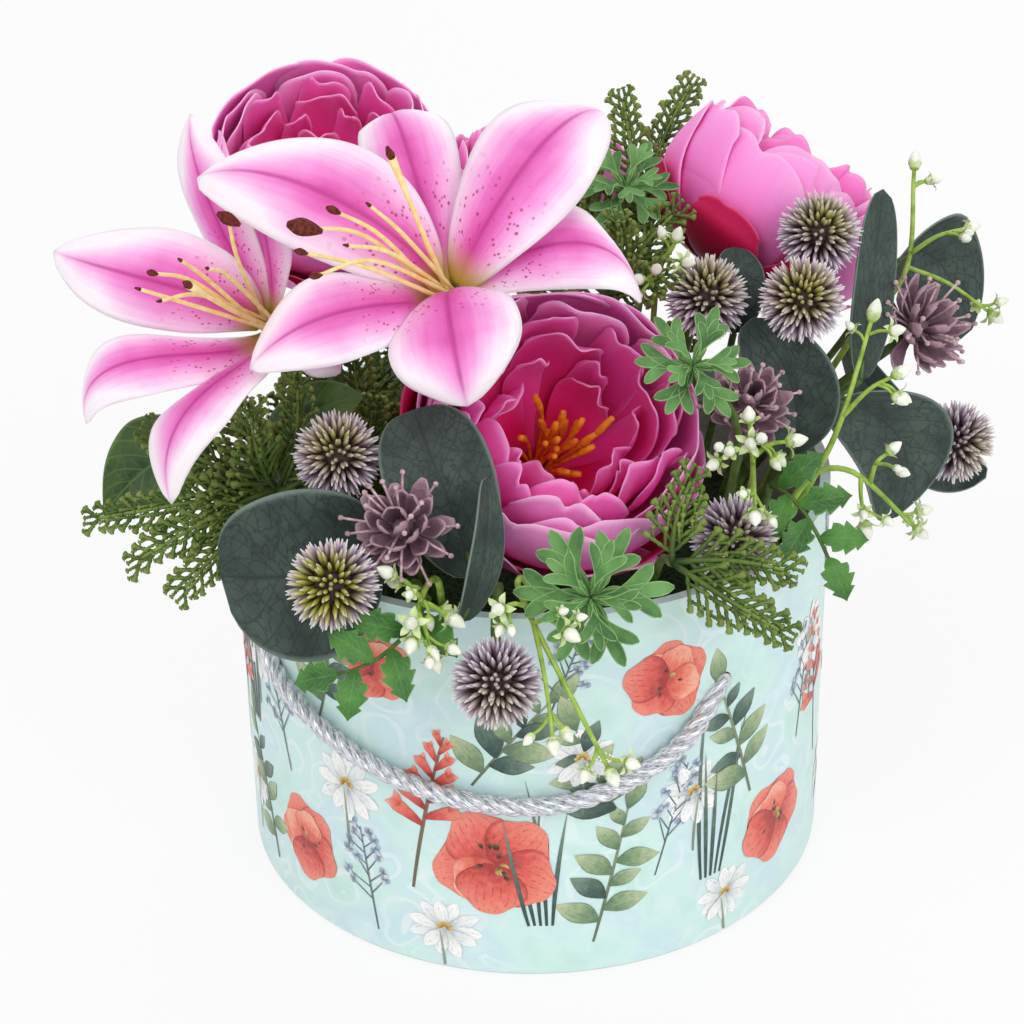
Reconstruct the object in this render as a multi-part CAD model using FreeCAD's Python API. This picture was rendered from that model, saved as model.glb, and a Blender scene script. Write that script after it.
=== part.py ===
import FreeCAD, Part
import math
import os

# Round hat box of artificial flowers. Millimetres, +Z up, origin at the centre of the box's
# underside, the front of the arrangement towards -Y.

Vec = FreeCAD.Vector

# Box
box_radius = 100.0
box_height = 136.0
wall = 2.4
base_thickness = 2.4
wrap_thickness = 0.4
wrap_turn_in = 14.0
wrap_foot = 0.6
glue_gap = 0.1

# Rope handle
rope_radius = 3.2
rope_sides = 12
rope_hole_clearance = 0.4
rope_hole_below_rim = 36.0
rope_hole_left = -64.0
rope_hole_right = 36.0
rope_stand_off = 1.0
rope_stub_reach = 0.6
rope_route = [(-55, -6), (-45, -14), (-35, -20.5), (-25, -25.5), (-15, -29), (-5, -30.5), (5, -30),
              (15, -25), (23, -18), (30, -9)]
knot_radius = 6.5
knot_length = 9.0
knot_sides = 10

# Foam and stems
foam_below_rim = 31.6
foam_side_gap = 11.0
foam_floor_gap = 0.2
stem_clearance = 0.3
stem_depth = 42.0
stem_sides = 6
stem_knee = 5.0
stem_lean = 0.9

# Thin moulded pieces
petal_thickness = 1.0
leaf_thickness = 0.8
piece_gap = 0.3

# Places are in millimetres from the box's axis and from the level of its rim. Stems are given in
# shares of the box's radius, since they have to pass its mouth.
lilies = {
    "lily_front": {
        "throat": (-24, -55, 86), "facing": (-0.14, -0.75, 0.64),
        "inner": [((-40, -62, 109), (-67, -60, 125), (-98, -46, 122), 34),
                  ((-11, -58, 113), (6, -49, 133), (23, -30, 134), 34),
                  ((-24, -76, 94), (-22, -91, 85), (-19, -92, 68), 36)],
        "outer": [((-31, -46, 110), (-38, -30, 130), (-43, -12, 121), 28),
                  ((-3, -57, 100), (18, -60, 104), (33, -60, 86), 26),
                  ((-43, -74, 92), (-63, -80, 90), (-83, -77, 74), 27)],
        "aim": (-52, -96, 124), "spread": 13, "tube": 16, "stem": [(-0.38, -0.18, 56)],
        "entry": (-0.4, -0.08)},
    "lily_left": {
        "throat": (-79, -39, 69), "facing": (-0.62, -0.63, 0.465),
        "inner": [((-95, -52, 86), (-119, -52, 94), (-145, -36, 95), 31),
                  ((-78, -43, 91), (-80, -38, 103), (-86, -22, 110), 13),
                  ((-90, -67, 67), (-104, -81, 58), (-109, -82, 32), 28)],
        "outer": [((-89, -39, 94), (-99, -26, 113), (-104, -5, 127), 20),
                  ((-69, -50, 69), (-63, -51, 67), (-59, -45, 57), 18),
                  ((-100, -59, 70), (-124, -64, 69), (-136, -61, 49), 21)],
        "aim": (-98, -84, 100), "spread": 10, "tube": 22, "stem": [(-0.62, -0.2, 42)],
        "entry": (-0.62, -0.14)},
}

peonies = {
    "peony_front": {"centre": (8, -43, 33), "facing": (0.24, -0.77, 0.59), "radius": 44,
                    "stem": [], "entry": (-0.03, -0.02)},
    "peony_back_left": {"centre": (-68, 73, 76), "facing": (0.10, -0.50, 0.86), "radius": 40,
                        "stem": [(-0.56, 0.64, 16)], "entry": (-0.48, 0.56)},
    "peony_back_right": {"centre": (84, 60, 66), "facing": (0.62, 0.28, 0.73), "radius": 40,
                         "stem": [], "entry": (0.44, 0.4)},
    "peony_back": {"centre": (5, 99, 59), "facing": (0.05, 0.10, 0.99), "radius": 34,
                   "stem": [], "entry": (0.06, 0.62)},
}

thistle_core = 8.5
thistle_reach = 13.5
thistles = [
    {"head": (-59, -72, 42), "stem": [], "entry": (-0.5, -0.46)},
    {"head": (-59, -117, 23), "stem": [(-0.48, -0.88, 10)], "entry": (-0.52, -0.62)},
    {"head": (-12, -129, -4), "stem": [(-0.12, -1.12, 7), (-0.11, -0.94, 8)], "entry": (-0.1, -0.72)},
    {"head": (61, -80, 15), "stem": [(0.54, -0.62, 8)], "entry": (0.52, -0.62)},
    {"head": (57, -9, 64), "stem": [], "entry": (0.46, -0.1)},
    {"head": (86, -21, 68), "stem": [(0.89, -0.02, 36)], "entry": (0.62, -0.04)},
    {"head": (94, 6, 79), "stem": [], "entry": (0.64, 0.12)},
    {"head": (143, 5, 3), "stem": [(1.24, 0.05, 14), (0.92, 0.04, 11)], "entry": (0.76, 0.02)},
]

stonecrop_core = 5.0
stonecrops = [
    {"head": (-39, -100, 32), "facing": (-0.2, -0.7, 0.7), "reach": 16, "stem": [], "entry": (-0.3, -0.58)},
    {"head": (68, -41, 41), "facing": (0.1, -0.6, 0.8), "reach": 15, "stem": [], "entry": (0.6, -0.28)},
    {"head": (127, 5, 45), "facing": (0.6, -0.5, 0.6), "reach": 18, "stem": [(0.94, 0.06, 16)],
     "entry": (0.7, 0.22)},
]

leaf_sprigs = {
    "eucalyptus_left": [
        {"stem": [(-0.22, -1.17, 10), (-0.19, -1.04, 12), (-0.18, -0.9, 8)], "entry": (-0.2, -0.7),
         "leaves": [((-19, -91, 13), (-28, -81, 38), (-36, -64, 53), 32, (0, -0.8, 0.6)),
                    ((-22, -120, 11), (-15, -110, 27), (-14, -88, 42), 14, (0.6, -0.6, 0.5))]},
        {"stem": [(-0.47, -0.8, 16)], "entry": (-0.44, -0.58),
         "leaves": [((-48, -83, 17), (-69, -92, 18), (-93, -87, 15), 40, (0, -0.95, 0.3))]}],
    "eucalyptus_right": [
        {"stem": [(1.07, -0.14, 36), (0.98, -0.14, 28), (0.82, -0.16, 6)], "entry": (0.7, -0.14),
         "leaves": [((84, -19, 11), (85, -21, 34), (72, -10, 57), 28, (0, -0.8, 0.6)),
                    ((101, -12, 27), (122, -11, 12), (121, -19, -12), 34, (0, -0.8, 0.6)),
                    ((108, -13, 39), (111, -1, 62), (117, 26, 86), 16, (0.5, -0.7, 0.5))]},
        {"stem": [(0.67, 0.02, 46)], "entry": (0.54, 0.04),
         "leaves": [((67, 2, 48), (69, 6, 60), (68, 15, 71), 16, (0, -0.8, 0.6))]}],
    "eucalyptus_back": [
        {"stem": [(1.24, 0.31, 58), (1.06, 0.25, 32)], "entry": (0.72, 0.34),
         "leaves": [((122, 36, 64), (140, 46, 52), (153, 41, 28), 34, (0, -0.8, 0.6)),
                    ((107, 26, 29), (134, 26, -10), (158, 22, -20), 18, (0, -0.8, 0.6))]}],
    "broad_leaves": [
        {"stem": [(-1, -0.36, 34), (-0.84, -0.3, 22)], "entry": (-0.72, -0.24),
         "leaves": [((-102, -37, 32), (-122, -39, 22), (-137, -43, 7), 30, (0, -0.8, 0.6)),
                    ((-87, -33, 27), (-66, -48, 46), (-52, -48, 50), 16, (0, -0.8, 0.6))]}],
    "serrated_leaves": [
        {"stem": [(-0.32, -1.06, 11), (-0.37, -0.92, 8)], "entry": (-0.38, -0.72),
         "leaves": [((-33, -109, 11), (-43, -126, 6), (-58, -129, 0), 22, (0, -0.8, 0.6))]},
        {"stem": [(0.74, -0.57, 21)], "entry": (0.66, -0.51),
         "leaves": [((75, -60, 23), (82, -69, 20), (90, -80, 8), 22, (0, -0.8, 0.6))]}],
}

rosette_leaves = 6
rosette_length = 14.0
rosette_width = 8.0
rosettes = {
    "parsley_centre": {"head": (49, -58, 63), "facing": (0.1, -0.75, 0.65), "scale": 1.0,
                       "stem": [(0.64, -0.55, 36)], "entry": (0.52, -0.5)},
    "parsley_front": {"head": (16, -113, 15), "facing": (0, -0.85, 0.5), "scale": 1.25,
                      "stem": [(0.13, -0.96, 8)], "entry": (0.12, -0.72)},
    "parsley_top": {"head": (33, 37, 83), "facing": (0, -0.5, 0.85), "scale": 1.0,
                    "stem": [], "entry": (0.24, 0.26)},
}

twig_radius = 1.1
twig_length = 11.0
twig_places = (0.25, 0.5, 0.75)
twig_taper = 0.5
shoot_radius = 0.9
branch_spacing = 4.0
twig_face = (0, -0.8, 0.6)
cypress_sprays = {
    "cypress_left": [
        {"stem": [(-0.8, -0.56, 22), (-0.7, -0.44, 14)], "entry": (-0.62, -0.34),
         "branches": [((-102, -62, 22), (-136, -58, 14)), ((-92, -70, 15), (-108, -78, 0)),
                      ((-84, -60, 34), (-86, -60, 50))]}],
    "cypress_top": [
        {"stem": [(0.42, 0.52, 54), (0.38, 0.46, 34)], "entry": (0.3, 0.38),
         "branches": [((38, 62, 77), (34, 76, 100)), ((44, 82, 70), (60, 114, 92)),
                      ((24, 48, 72), (16, 53, 91))]},
        {"stem": [(0.26, 0.12, 56), (0.2, 0.14, 34)], "entry": (0.14, 0.16),
         "branches": [((30, 8, 69), (30, 8, 82)), ((12, 20, 66), (2, 23, 77))]}],
    "cypress_right": [
        {"stem": [(0.41, -0.97, 17), (0.38, -0.84, 9)], "entry": (0.34, -0.68),
         "branches": [((56, -108, 11), (72, -114, 3)), ((58, -100, 19), (74, -103, 17)),
                      ((42, -94, 28), (47, -85, 38))]}],
}

bud_length = 8.0
bud_radius = 2.4
bud_stalk = 0.8
stalk_spacing = 3.2
bud_sprays = {
    "bud_spray_left": [
        {"stem": [(-0.33, -1.1, 16), (-0.29, -0.95, 10)], "entry": (-0.28, -0.76),
         "buds": [(-36, -128, 11), (-41, -116, 25), (-26, -122, 15), (-30, -128, 5)]}],
    "bud_spray_front": [
        {"stem": [(-0.04, -1.12, 14), (-0.02, -0.94, 8)], "entry": (-0.01, -0.76),
         "buds": [(20, -148, -22), (-10, -130, 22), (8, -128, 13), (4, -146, -12)]}],
    "bud_spray_centre": [
        {"stem": [(0.41, 0, 60)], "entry": (0.4, 0.08), "buds": [(47, -3, 81), (36, -12, 72)]}],
    "bud_spray_side": [
        {"stem": [(0.68, -0.62, 28), (0.66, -0.56, 12)], "entry": (0.58, -0.5),
         "buds": [(66, -66, 48), (66, -90, 30), (78, -64, 40), (56, -76, 40)]}],
    "bud_spray_right": [
        {"stem": [(0.98, -0.36, 32), (0.9, -0.34, 10)], "entry": (0.74, -0.3),
         "buds": [(108, -24, 62), (114, -36, 48)]},
        {"stem": [(1, -0.46, 20), (0.85, -0.42, 11)], "entry": (0.74, -0.4),
         "buds": [(122, -48, 0), (104, -58, 8), (112, -46, 26)]}],
    "bud_spray_top": [
        {"stem": [(1.26, 0.26, 56), (1.06, 0.18, 32)], "entry": (0.8, 0.24),
         "buds": [(130, 44, 86), (156, 28, 40), (146, 30, 70)]}],
}

petal_profile = (0.12, 0.40, 0.86, 1.0, 0.76, 0.10)
leaf_profile = (0.62, 0.96, 1.0, 0.80, 0.10)
leaf_root = 1.2
lobe_profile = (0.08, 0.55, 1.0, 0.30)
petal_cup = 0.16
leaf_cup = 0.10

wall_radius = box_radius - wrap_thickness - glue_gap
inner_radius = wall_radius - wall
foam_radius = inner_radius - foam_side_gap
foam_top = box_height - foam_below_rim
rope_hole_height = box_height - rope_hole_below_rim
rope_path_radius = box_radius + rope_radius + rope_stand_off
foam_holes = []

os.makedirs("parts", exist_ok=True)


def export(node, solids):
    shape = solids[0] if len(solids) == 1 else Part.makeCompound(solids)
    shape.exportStep("parts/" + node + ".step")


def unit(vector):
    return Vec(vector) / Vec(vector).Length


def above_rim(place):
    """Point given from the box's axis and from the level of its rim."""
    return Vec(place[0], place[1], box_height + place[2])


def stem_line(plant):
    """A plant's stem, from below its head to the top of the foam."""
    x, y = plant["entry"]
    through = [Vec(u * box_radius, v * box_radius, box_height + z) for u, v, z in plant["stem"]]
    return through + [Vec(x * box_radius, y * box_radius, foam_top + stem_knee)]


def curve_point(points, t):
    """Point of the polynomial curve that passes evenly through the points."""
    last = len(points) - 1
    total = Vec()
    for i in range(last + 1):
        weight = 1.0
        for j in range(last + 1):
            if j != i:
                weight *= (t * last - j) / (i - j)
        total += points[i] * weight
    return total


def curve_direction(points, t, step=0.01):
    return unit(curve_point(points, t + step) - curve_point(points, t - step))


def faceted_solid(vertices, triangles, sew=0.001):
    skin = Part.Shape()
    skin.makeShapeFromMesh((vertices, triangles), sew)
    solid = Part.Solid(Part.Shell(skin.Faces))
    if solid.Volume < 0:
        solid.reverse()
    return solid


def facet_loft(sections, closed=False):
    """Solid of flat triangles through sections that all have the same, even number of points."""
    count = len(sections[0])
    half = count // 2
    vertices = [point for section in sections for point in section]
    triangles = []
    rows = len(sections) if closed else len(sections) - 1
    for row in range(rows):
        a = row * count
        b = (row + 1) % len(sections) * count
        for i in range(count):
            j = (i + 1) % count
            triangles += [(a + i, a + j, b + j), (a + i, b + j, b + i)]
    if not closed:
        top = (len(sections) - 1) * count
        for i in range(half - 1):
            j = count - 1 - i
            triangles += [(i + 1, i, j), (i + 1, j, j - 1)]
            triangles += [(top + i, top + i + 1, top + j), (top + i + 1, top + j - 1, top + j)]
    return faceted_solid(vertices, triangles)


def blade(points, width, across, cup, profile, thickness):
    """Petal or leaf: a thin plate along a curve, hollowed towards its edges."""
    points = [Vec(p) for p in points]
    sections = []
    for row, share in enumerate(profile):
        t = row / (len(profile) - 1)
        middle = curve_point(points, t)
        normal = unit(across.cross(curve_direction(points, t)))
        side = across * (0.5 * width * share)
        rise = normal * (cup * 0.5 * width * share)
        lift = normal * (0.5 * thickness)
        left, right = middle - side + rise, middle + side + rise
        sections.append([left + lift, middle + lift, right + lift,
                         right - lift, middle - lift, left - lift])
    return facet_loft(sections)


def rod(points, radii, sides=stem_sides):
    """Round piece of varying thickness along a run of points."""
    points = [Vec(p) for p in points]
    run = points[-1] - points[0]
    spread = [abs(run.x), abs(run.y), abs(run.z)]
    aside = (Vec(1, 0, 0), Vec(0, 1, 0), Vec(0, 0, 1))[spread.index(min(spread))]
    sections = []
    for i, point in enumerate(points):
        ahead = points[min(i + 1, len(points) - 1)] - point
        behind = point - points[max(i - 1, 0)]
        ahead = unit(ahead) if ahead.Length else unit(behind)
        behind = unit(behind) if behind.Length else ahead
        along = unit(ahead + behind)
        u = unit(along.cross(aside))
        v = along.cross(u)
        radius = radii[min(i, len(radii) - 1)]
        sections.append([point + u * (radius * math.cos(k * math.tau / sides))
                         + v * (radius * math.sin(k * math.tau / sides)) for k in range(sides)])
    return facet_loft(sections)


def bud(start, direction, length, radius, sides=4):
    start, direction = Vec(start), unit(direction)
    shape = ((0.0, 0.35), (0.35, 1.0), (0.7, 0.85), (1.0, 0.15))
    return rod([start + direction * (length * t) for t, _ in shape], [radius * r for _, r in shape], sides)


def ball(centre, axis, radius, sides=8):
    turns = [math.radians(a) for a in (-75, -40, 0, 40, 75)]
    return rod([centre + axis * (radius * math.sin(a)) for a in turns],
               [radius * math.cos(a) for a in turns], sides)


def rooted_stem(head, plant, radius, tip_radius=None):
    """Stem from the head's points down into the foam, and the hole it stands in."""
    line = stem_line(plant)
    knee = line[-1]
    foot = Vec(knee.x * stem_lean, knee.y * stem_lean, foam_top - stem_depth)
    along = unit(foot - knee)
    bore = (radius + stem_clearance) / math.cos(math.pi / stem_sides)
    foam_holes.append(rod([knee, foot + along * stem_clearance], [bore]))
    return rod(head + line + [foot], [tip_radius or radius, radius])


def side_start(root, stem_direction, along, stem_radius, radius):
    """Where a side shoot begins, just clear of the stem that carries it."""
    sine = stem_direction.cross(along).Length
    cosine = abs(stem_direction.dot(along))
    return root + along * ((stem_radius + radius * cosine + piece_gap) / sine)


def leaf_seat(stem, place, toward, radius, half_width):
    """Where a leaf begins: on the stem's side nearest to a place, or at the stem's tip."""
    nearest = None
    for first, second in zip(stem, stem[1:]):
        run = second - first
        share = (place - first).dot(run) / run.dot(run)
        point = first + run * min(1, max(0, share))
        if nearest is None or (place - point).Length < (place - nearest).Length:
            nearest, direction = point, unit(run)
    along = unit(toward - nearest)
    if (nearest - stem[0]).Length > radius:
        return side_start(nearest, direction, along, radius, half_width)
    return stem[0] + along * (piece_gap + (radius + 0.5 * half_width) * direction.cross(along).Length)


def around(centre, facing, angle, out, up):
    """Point at a distance out and up from a centre, turned about its facing direction."""
    facing = unit(facing)
    u = unit(facing.cross(Vec(0, 0, 1)))
    v = facing.cross(u)
    return (Vec(centre) + u * (out * math.cos(angle)) + v * (out * math.sin(angle)) + facing * up)


def petal_ring(centre, facing, radius, profile, petals, ruffle, thickness, columns=3, turn=0.0):
    """Cup of joined petals: a wavy-edged shell swept round the flower's axis."""
    sections = []
    count = petals * columns
    for column in range(count):
        angle = column * math.tau / count + turn
        lobe = abs(math.cos(0.5 * petals * (angle - turn)))
        outer, inner = [], []
        for i, (out, up) in enumerate(profile):
            before, after = profile[max(i - 1, 0)], profile[min(i + 1, len(profile) - 1)]
            run, rise = after[0] - before[0], after[1] - before[1]
            size = math.hypot(run, rise)
            share = i / (len(profile) - 1)
            swell = 1.0 + ruffle * (lobe - 0.6) * share
            stretch = 1.0 + 0.8 * ruffle * (lobe - 0.6) * share
            r, h = radius * out * swell, radius * up * stretch
            outer.append(around(centre, facing, angle, r, h))
            inner.append(around(centre, facing, angle, r - thickness * rise / size,
                                h + thickness * run / size))
        sections.append(outer + inner[::-1])
    return facet_loft(sections, closed=True)


def spiky_ball(centre, core, reach, pole):
    """Globe of pointed florets: a triangulated ball with a point raised on each triangle."""
    flat, high = 2 / math.sqrt(5), 1 / math.sqrt(5)
    corners = [pole, -pole]
    for i in range(5):
        corners.append(around(Vec(), pole, i * math.tau / 5, flat, high))
        corners.append(around(Vec(), pole, (i + 0.5) * math.tau / 5, flat, -high))
    edge = 1.05 * (corners[0] - corners[2]).Length
    faces = [(i, j, k) for i in range(12) for j in range(i) for k in range(j)
             if max((corners[i] - corners[j]).Length, (corners[j] - corners[k]).Length,
                    (corners[k] - corners[i]).Length) < edge]
    vertices, triangles = [], []
    for i, j, k in faces:
        a, b, c = corners[i], corners[j], corners[k]
        if a.cross(b).dot(c) < 0:
            b, c = c, b
        ab, bc, ca = unit(a + b), unit(b + c), unit(c + a)
        for p, q, r in ((a, ab, ca), (ab, b, bc), (ca, bc, c), (ab, bc, ca)):
            first = len(vertices)
            vertices += [Vec(centre) + p * core, Vec(centre) + q * core, Vec(centre) + r * core,
                         Vec(centre) + unit(p + q + r) * reach]
            triangles += [(first, first + 1, first + 3), (first + 1, first + 2, first + 3),
                          (first + 2, first, first + 3)]
    return faceted_solid(vertices, triangles)


def polar(angle, radius, z):
    """Point at an angle from the front, seen from above, positive to the right."""
    return Vec(radius * math.sin(math.radians(angle)), -radius * math.cos(math.radians(angle)), z)


def rope_hole(angle, radius):
    start = polar(angle, inner_radius - wall, rope_hole_height)
    return Part.makeCylinder(radius, 4 * wall, start, polar(angle, 1, 0))


def ring(outer, inner, z, height):
    return Part.makeCylinder(outer, height, Vec(0, 0, z)).cut(Part.makeCylinder(inner, height, Vec(0, 0, z)))


def rope_spine(points, share=0.45):
    """Straight runs joined by the largest tangent arcs that they leave room for."""
    edges, radii = [], []
    start = points[0]
    for i in range(1, len(points) - 1):
        back, ahead = points[i - 1] - points[i], points[i + 1] - points[i]
        reach = share * min(back.Length, ahead.Length)
        first, last = points[i] + unit(back) * reach, points[i] + unit(ahead) * reach
        half_turn = 0.5 * (math.pi - back.getAngle(ahead))
        radii.append(reach / math.tan(half_turn))
        inset = radii[-1] / math.cos(half_turn) - radii[-1]
        middle = points[i] + unit(unit(back) + unit(ahead)) * inset
        edges += [Part.makeLine(start, first), Part.Arc(first, middle, last).toShape()]
        start = last
    edges.append(Part.makeLine(start, points[-1]))
    return Part.Wire(edges), radii


def rope_tube(spine, radius, sides, arc_steps=3):
    """Many-sided tube along the spine, with the section area of a round one."""
    corner = radius * math.sqrt(math.tau / (sides * math.sin(math.tau / sides)))
    stations = [spine.Edges[0].firstVertex().Point]
    for edge in spine.Edges:
        steps = arc_steps if edge.Curve.TypeId == "Part::GeomCircle" else 1
        stations += edge.discretize(steps + 1)[1:]
    return rod(stations, [corner], sides)


# Cardboard box, printed paper over it
rope_holes = [rope_hole(a, rope_radius + rope_hole_clearance) for a in (rope_hole_left, rope_hole_right)]
base = Part.makeCylinder(inner_radius - glue_gap, base_thickness)
box_wall = ring(wall_radius, inner_radius, 0, box_height - wrap_thickness - glue_gap)
paper_outside = box_radius - wrap_thickness
paper_inside = inner_radius - glue_gap
wrap_profile = [(paper_outside, wrap_foot), (box_radius, wrap_foot), (box_radius, box_height),
                (paper_inside - wrap_thickness, box_height),
                (paper_inside - wrap_thickness, box_height - wrap_turn_in),
                (paper_inside, box_height - wrap_turn_in),
                (paper_inside, box_height - wrap_thickness), (paper_outside, box_height - wrap_thickness)]
wrap_face = Part.Face(Part.makePolygon([Vec(r, 0, z) for r, z in wrap_profile + wrap_profile[:1]]))
wrap = wrap_face.revolve(Vec(), Vec(0, 0, 1), 360)
for hole in rope_holes:
    box_wall = box_wall.cut(hole)
    wrap = wrap.cut(hole)
export("box_base", [base])
export("box_wall", [box_wall])
export("printed_wrap", [wrap])

# Rope handle: the hanging loop, and its knotted ends through the wall
pivots = [polar(a, rope_path_radius, rope_hole_height) for a in (rope_hole_left, rope_hole_right)]
route = [pivots[0]] + [polar(a, rope_path_radius, rope_hole_height + z) for a, z in rope_route] + [pivots[1]]
spine, bends = rope_spine(route)
rope = rope_tube(spine, rope_radius, rope_sides)
rope_section = math.pi * rope_radius ** 2
rope_ends = []
for angle in (rope_hole_left, rope_hole_right):
    outward = polar(angle, 1, 0)
    knot_start = polar(angle, inner_radius - piece_gap - knot_length, rope_hole_height)
    stations = ((0, 0.6 * knot_radius), (0.3 * knot_length, knot_radius), (0.7 * knot_length, knot_radius),
                (knot_length, rope_radius), (knot_length + wall + 2 * rope_stub_reach, rope_radius))
    rope_ends.append(rod([knot_start + outward * reach for reach, _ in stations],
                         [size for _, size in stations], knot_sides))
print("rope length", round(spine.Length, 1), "volume over section", round(rope.Volume / rope_section, 1))
print("rope bend radii", [round(bend) for bend in bends])
export("handle_rope", [rope])
export("handle_rope_ends", rope_ends)

# Lilies: three inner and three outer petals round a throat, stamens and pistil in front of it
lily_ring = 4.0
lily_lift = {"inner": 2.2, "outer": 1.1}
lily_tube_radius = 5.0
lily_stem_radius = 2.2
lily_stem_lead = 4.0
lily_stamens = 6
filament_ring = 2.2
filament_radius = 0.7
filament_bow = 2.0
anther_length = 9.0
anther_radius = 1.7
pistil_radius = 1.0
pistil_knob = 2.2

for name, lily in lilies.items():
    throat, facing = above_rim(lily["throat"]), unit(lily["facing"])
    for kind in ("inner", "outer"):
        petals = []
        for *places, width in lily[kind]:
            shoulder, bend, tip = map(above_rim, places)
            reach = bend - throat
            radial = unit(reach - facing * reach.dot(facing))
            root = throat + radial * lily_ring + facing * lily_lift[kind]
            petals.append(blade([root, shoulder, bend, tip], width, facing.cross(radial), petal_cup,
                                petal_profile, petal_thickness))
        export(name + "_petals_" + kind, petals)
    aim = above_rim(lily["aim"])
    forward = unit(aim - throat)
    stamens = []
    for i in range(lily_stamens):
        angle = i * math.tau / lily_stamens
        root = around(throat, facing, angle, filament_ring, piece_gap)
        tip = around(aim, forward, angle, lily["spread"], 0)
        along = unit(tip - root)
        across = unit(along.cross(tip - aim))
        stamens.append(rod([root, (root + tip) * 0.5 + facing * filament_bow, tip], [filament_radius], 4))
        middle = tip + along * (anther_radius + piece_gap)
        stamens.append(rod([middle + across * (anther_length * s) for s in (-0.5, -0.25, 0.25, 0.5)],
                           [0.4 * anther_radius, anther_radius, anther_radius, 0.4 * anther_radius], 4))
    export(name + "_stamens", stamens)
    root = throat + facing * piece_gap
    export(name + "_pistil", [rod([root, (root + aim) * 0.5 + facing * filament_bow, aim,
                                   aim + forward * pistil_knob],
                                  [pistil_radius, pistil_radius, pistil_knob, 0.5 * pistil_knob])])
    neck = throat - facing * lily["tube"]
    tube = rod([throat, throat - facing * (0.5 * lily["tube"]), neck],
               [lily_tube_radius, 0.8 * lily_tube_radius, lily_stem_radius])
    stem = rooted_stem([neck - facing * piece_gap, neck - facing * lily_stem_lead], lily, lily_stem_radius)
    export(name + "_stem", [tube, stem])

# Peonies: an outer and an inner ring of joined petals, stamens inside, calyx and stem behind
peony_outer = ((0.16, -0.70), (0.55, -0.62), (0.92, -0.25), (1.0, 0.12), (0.95, 0.42))
peony_inner = ((0.10, -0.58), (0.42, -0.46), (0.68, -0.08), (0.70, 0.26), (0.60, 0.56))
peony_outer_petals = 7
peony_inner_petals = 5
peony_ruffle = 0.22
peony_stem_radius = 2.4
peony_seat_gap = 0.7
peony_calyx_depth = 6.0
peony_stem_lead = 8.0
peony_stamens = 9
peony_stamen_radius = 0.7
peony_stamen_ring = 2.6

for name, peony in peonies.items():
    centre, facing, radius = above_rim(peony["centre"]), unit(peony["facing"]), peony["radius"]
    export(name + "_petals_outer", [petal_ring(centre, facing, radius, peony_outer, peony_outer_petals,
                                               peony_ruffle, petal_thickness)])
    export(name + "_petals_inner", [petal_ring(centre, facing, radius, peony_inner, peony_inner_petals,
                                               peony_ruffle, petal_thickness, turn=0.3)])
    heart = centre + facing * (peony_inner[0][1] * radius)
    stamens = []
    for i in range(peony_stamens):
        angle = i * math.tau / peony_stamens
        foot = around(heart, facing, angle, peony_stamen_ring, petal_thickness + piece_gap)
        tip = around(heart, facing, angle, 0.24 * radius, 0.55 * radius)
        stamens.append(rod([foot, tip, tip + unit(tip - foot) * 2], [peony_stamen_radius,
                       1.6 * peony_stamen_radius, 0.5 * peony_stamen_radius], 4))
    export(name + "_stamens", stamens)
    seat = centre + facing * (peony_outer[0][1] * radius)
    collar = radius * peony_outer[0][0] - peony_seat_gap
    core = radius * peony_inner[0][0] - peony_seat_gap
    calyx = rod([heart + facing * petal_thickness, heart, seat + facing * petal_thickness, seat,
                 seat - facing * peony_calyx_depth], [core, core, collar, collar, peony_stem_radius])
    cap = seat - facing * (peony_calyx_depth + piece_gap)
    stem = rooted_stem([cap, cap - facing * peony_stem_lead], peony, peony_stem_radius)
    export(name + "_stem", [calyx, stem])

# Globe thistles
thistle_stem_radius = 1.5
for number, thistle in enumerate(thistles, 1):
    head = above_rim(thistle["head"])
    pole = unit(stem_line(thistle)[0] - head)
    collar = head + pole * (thistle_core + thistle_stem_radius + piece_gap)
    stem = rooted_stem([collar], thistle, thistle_stem_radius)
    export("thistle_" + str(number), [spiky_ball(head, thistle_core, thistle_reach, pole), stem])

# Stonecrops: fleshy petals round a core
stonecrop_stem_radius = 1.6
stonecrop_tilts = (0, 50, 95)
stonecrop_petals = (1, 5, 7)
stonecrop_petal_radius = 2.6
for number, stonecrop in enumerate(stonecrops, 1):
    head, facing = above_rim(stonecrop["head"]), unit(stonecrop["facing"])
    solids = [ball(head, facing, stonecrop_core)]
    for tilt, count in zip(stonecrop_tilts, stonecrop_petals):
        for i in range(count):
            direction = around(Vec(), facing, i * math.tau / count + tilt, math.sin(math.radians(tilt)),
                               math.cos(math.radians(tilt)))
            start = head + direction * (stonecrop_core + piece_gap)
            solids.append(bud(start, direction, stonecrop["reach"] - stonecrop_core, stonecrop_petal_radius))
    collar = head + unit(stem_line(stonecrop)[0] - head) * (stonecrop_core + piece_gap)
    solids.append(rooted_stem([collar], stonecrop, stonecrop_stem_radius))
    export("stonecrop_" + str(number), solids)

# Leaf sprigs
sprig_radius = 1.4
for name, sprigs in leaf_sprigs.items():
    solids = []
    for sprig in sprigs:
        solids.append(rooted_stem([], sprig, sprig_radius))
        for *places, width, face in sprig["leaves"]:
            place, middle, tip = map(above_rim, places)
            seat = leaf_seat(stem_line(sprig), place, middle, sprig_radius, 0.5 * leaf_root)
            across = unit((tip - seat).cross(Vec(face)))
            profile = (leaf_root / width, *leaf_profile)
            solids.append(blade([seat, middle, tip], width, across, leaf_cup, profile, leaf_thickness))
    export(name, solids)

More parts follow.
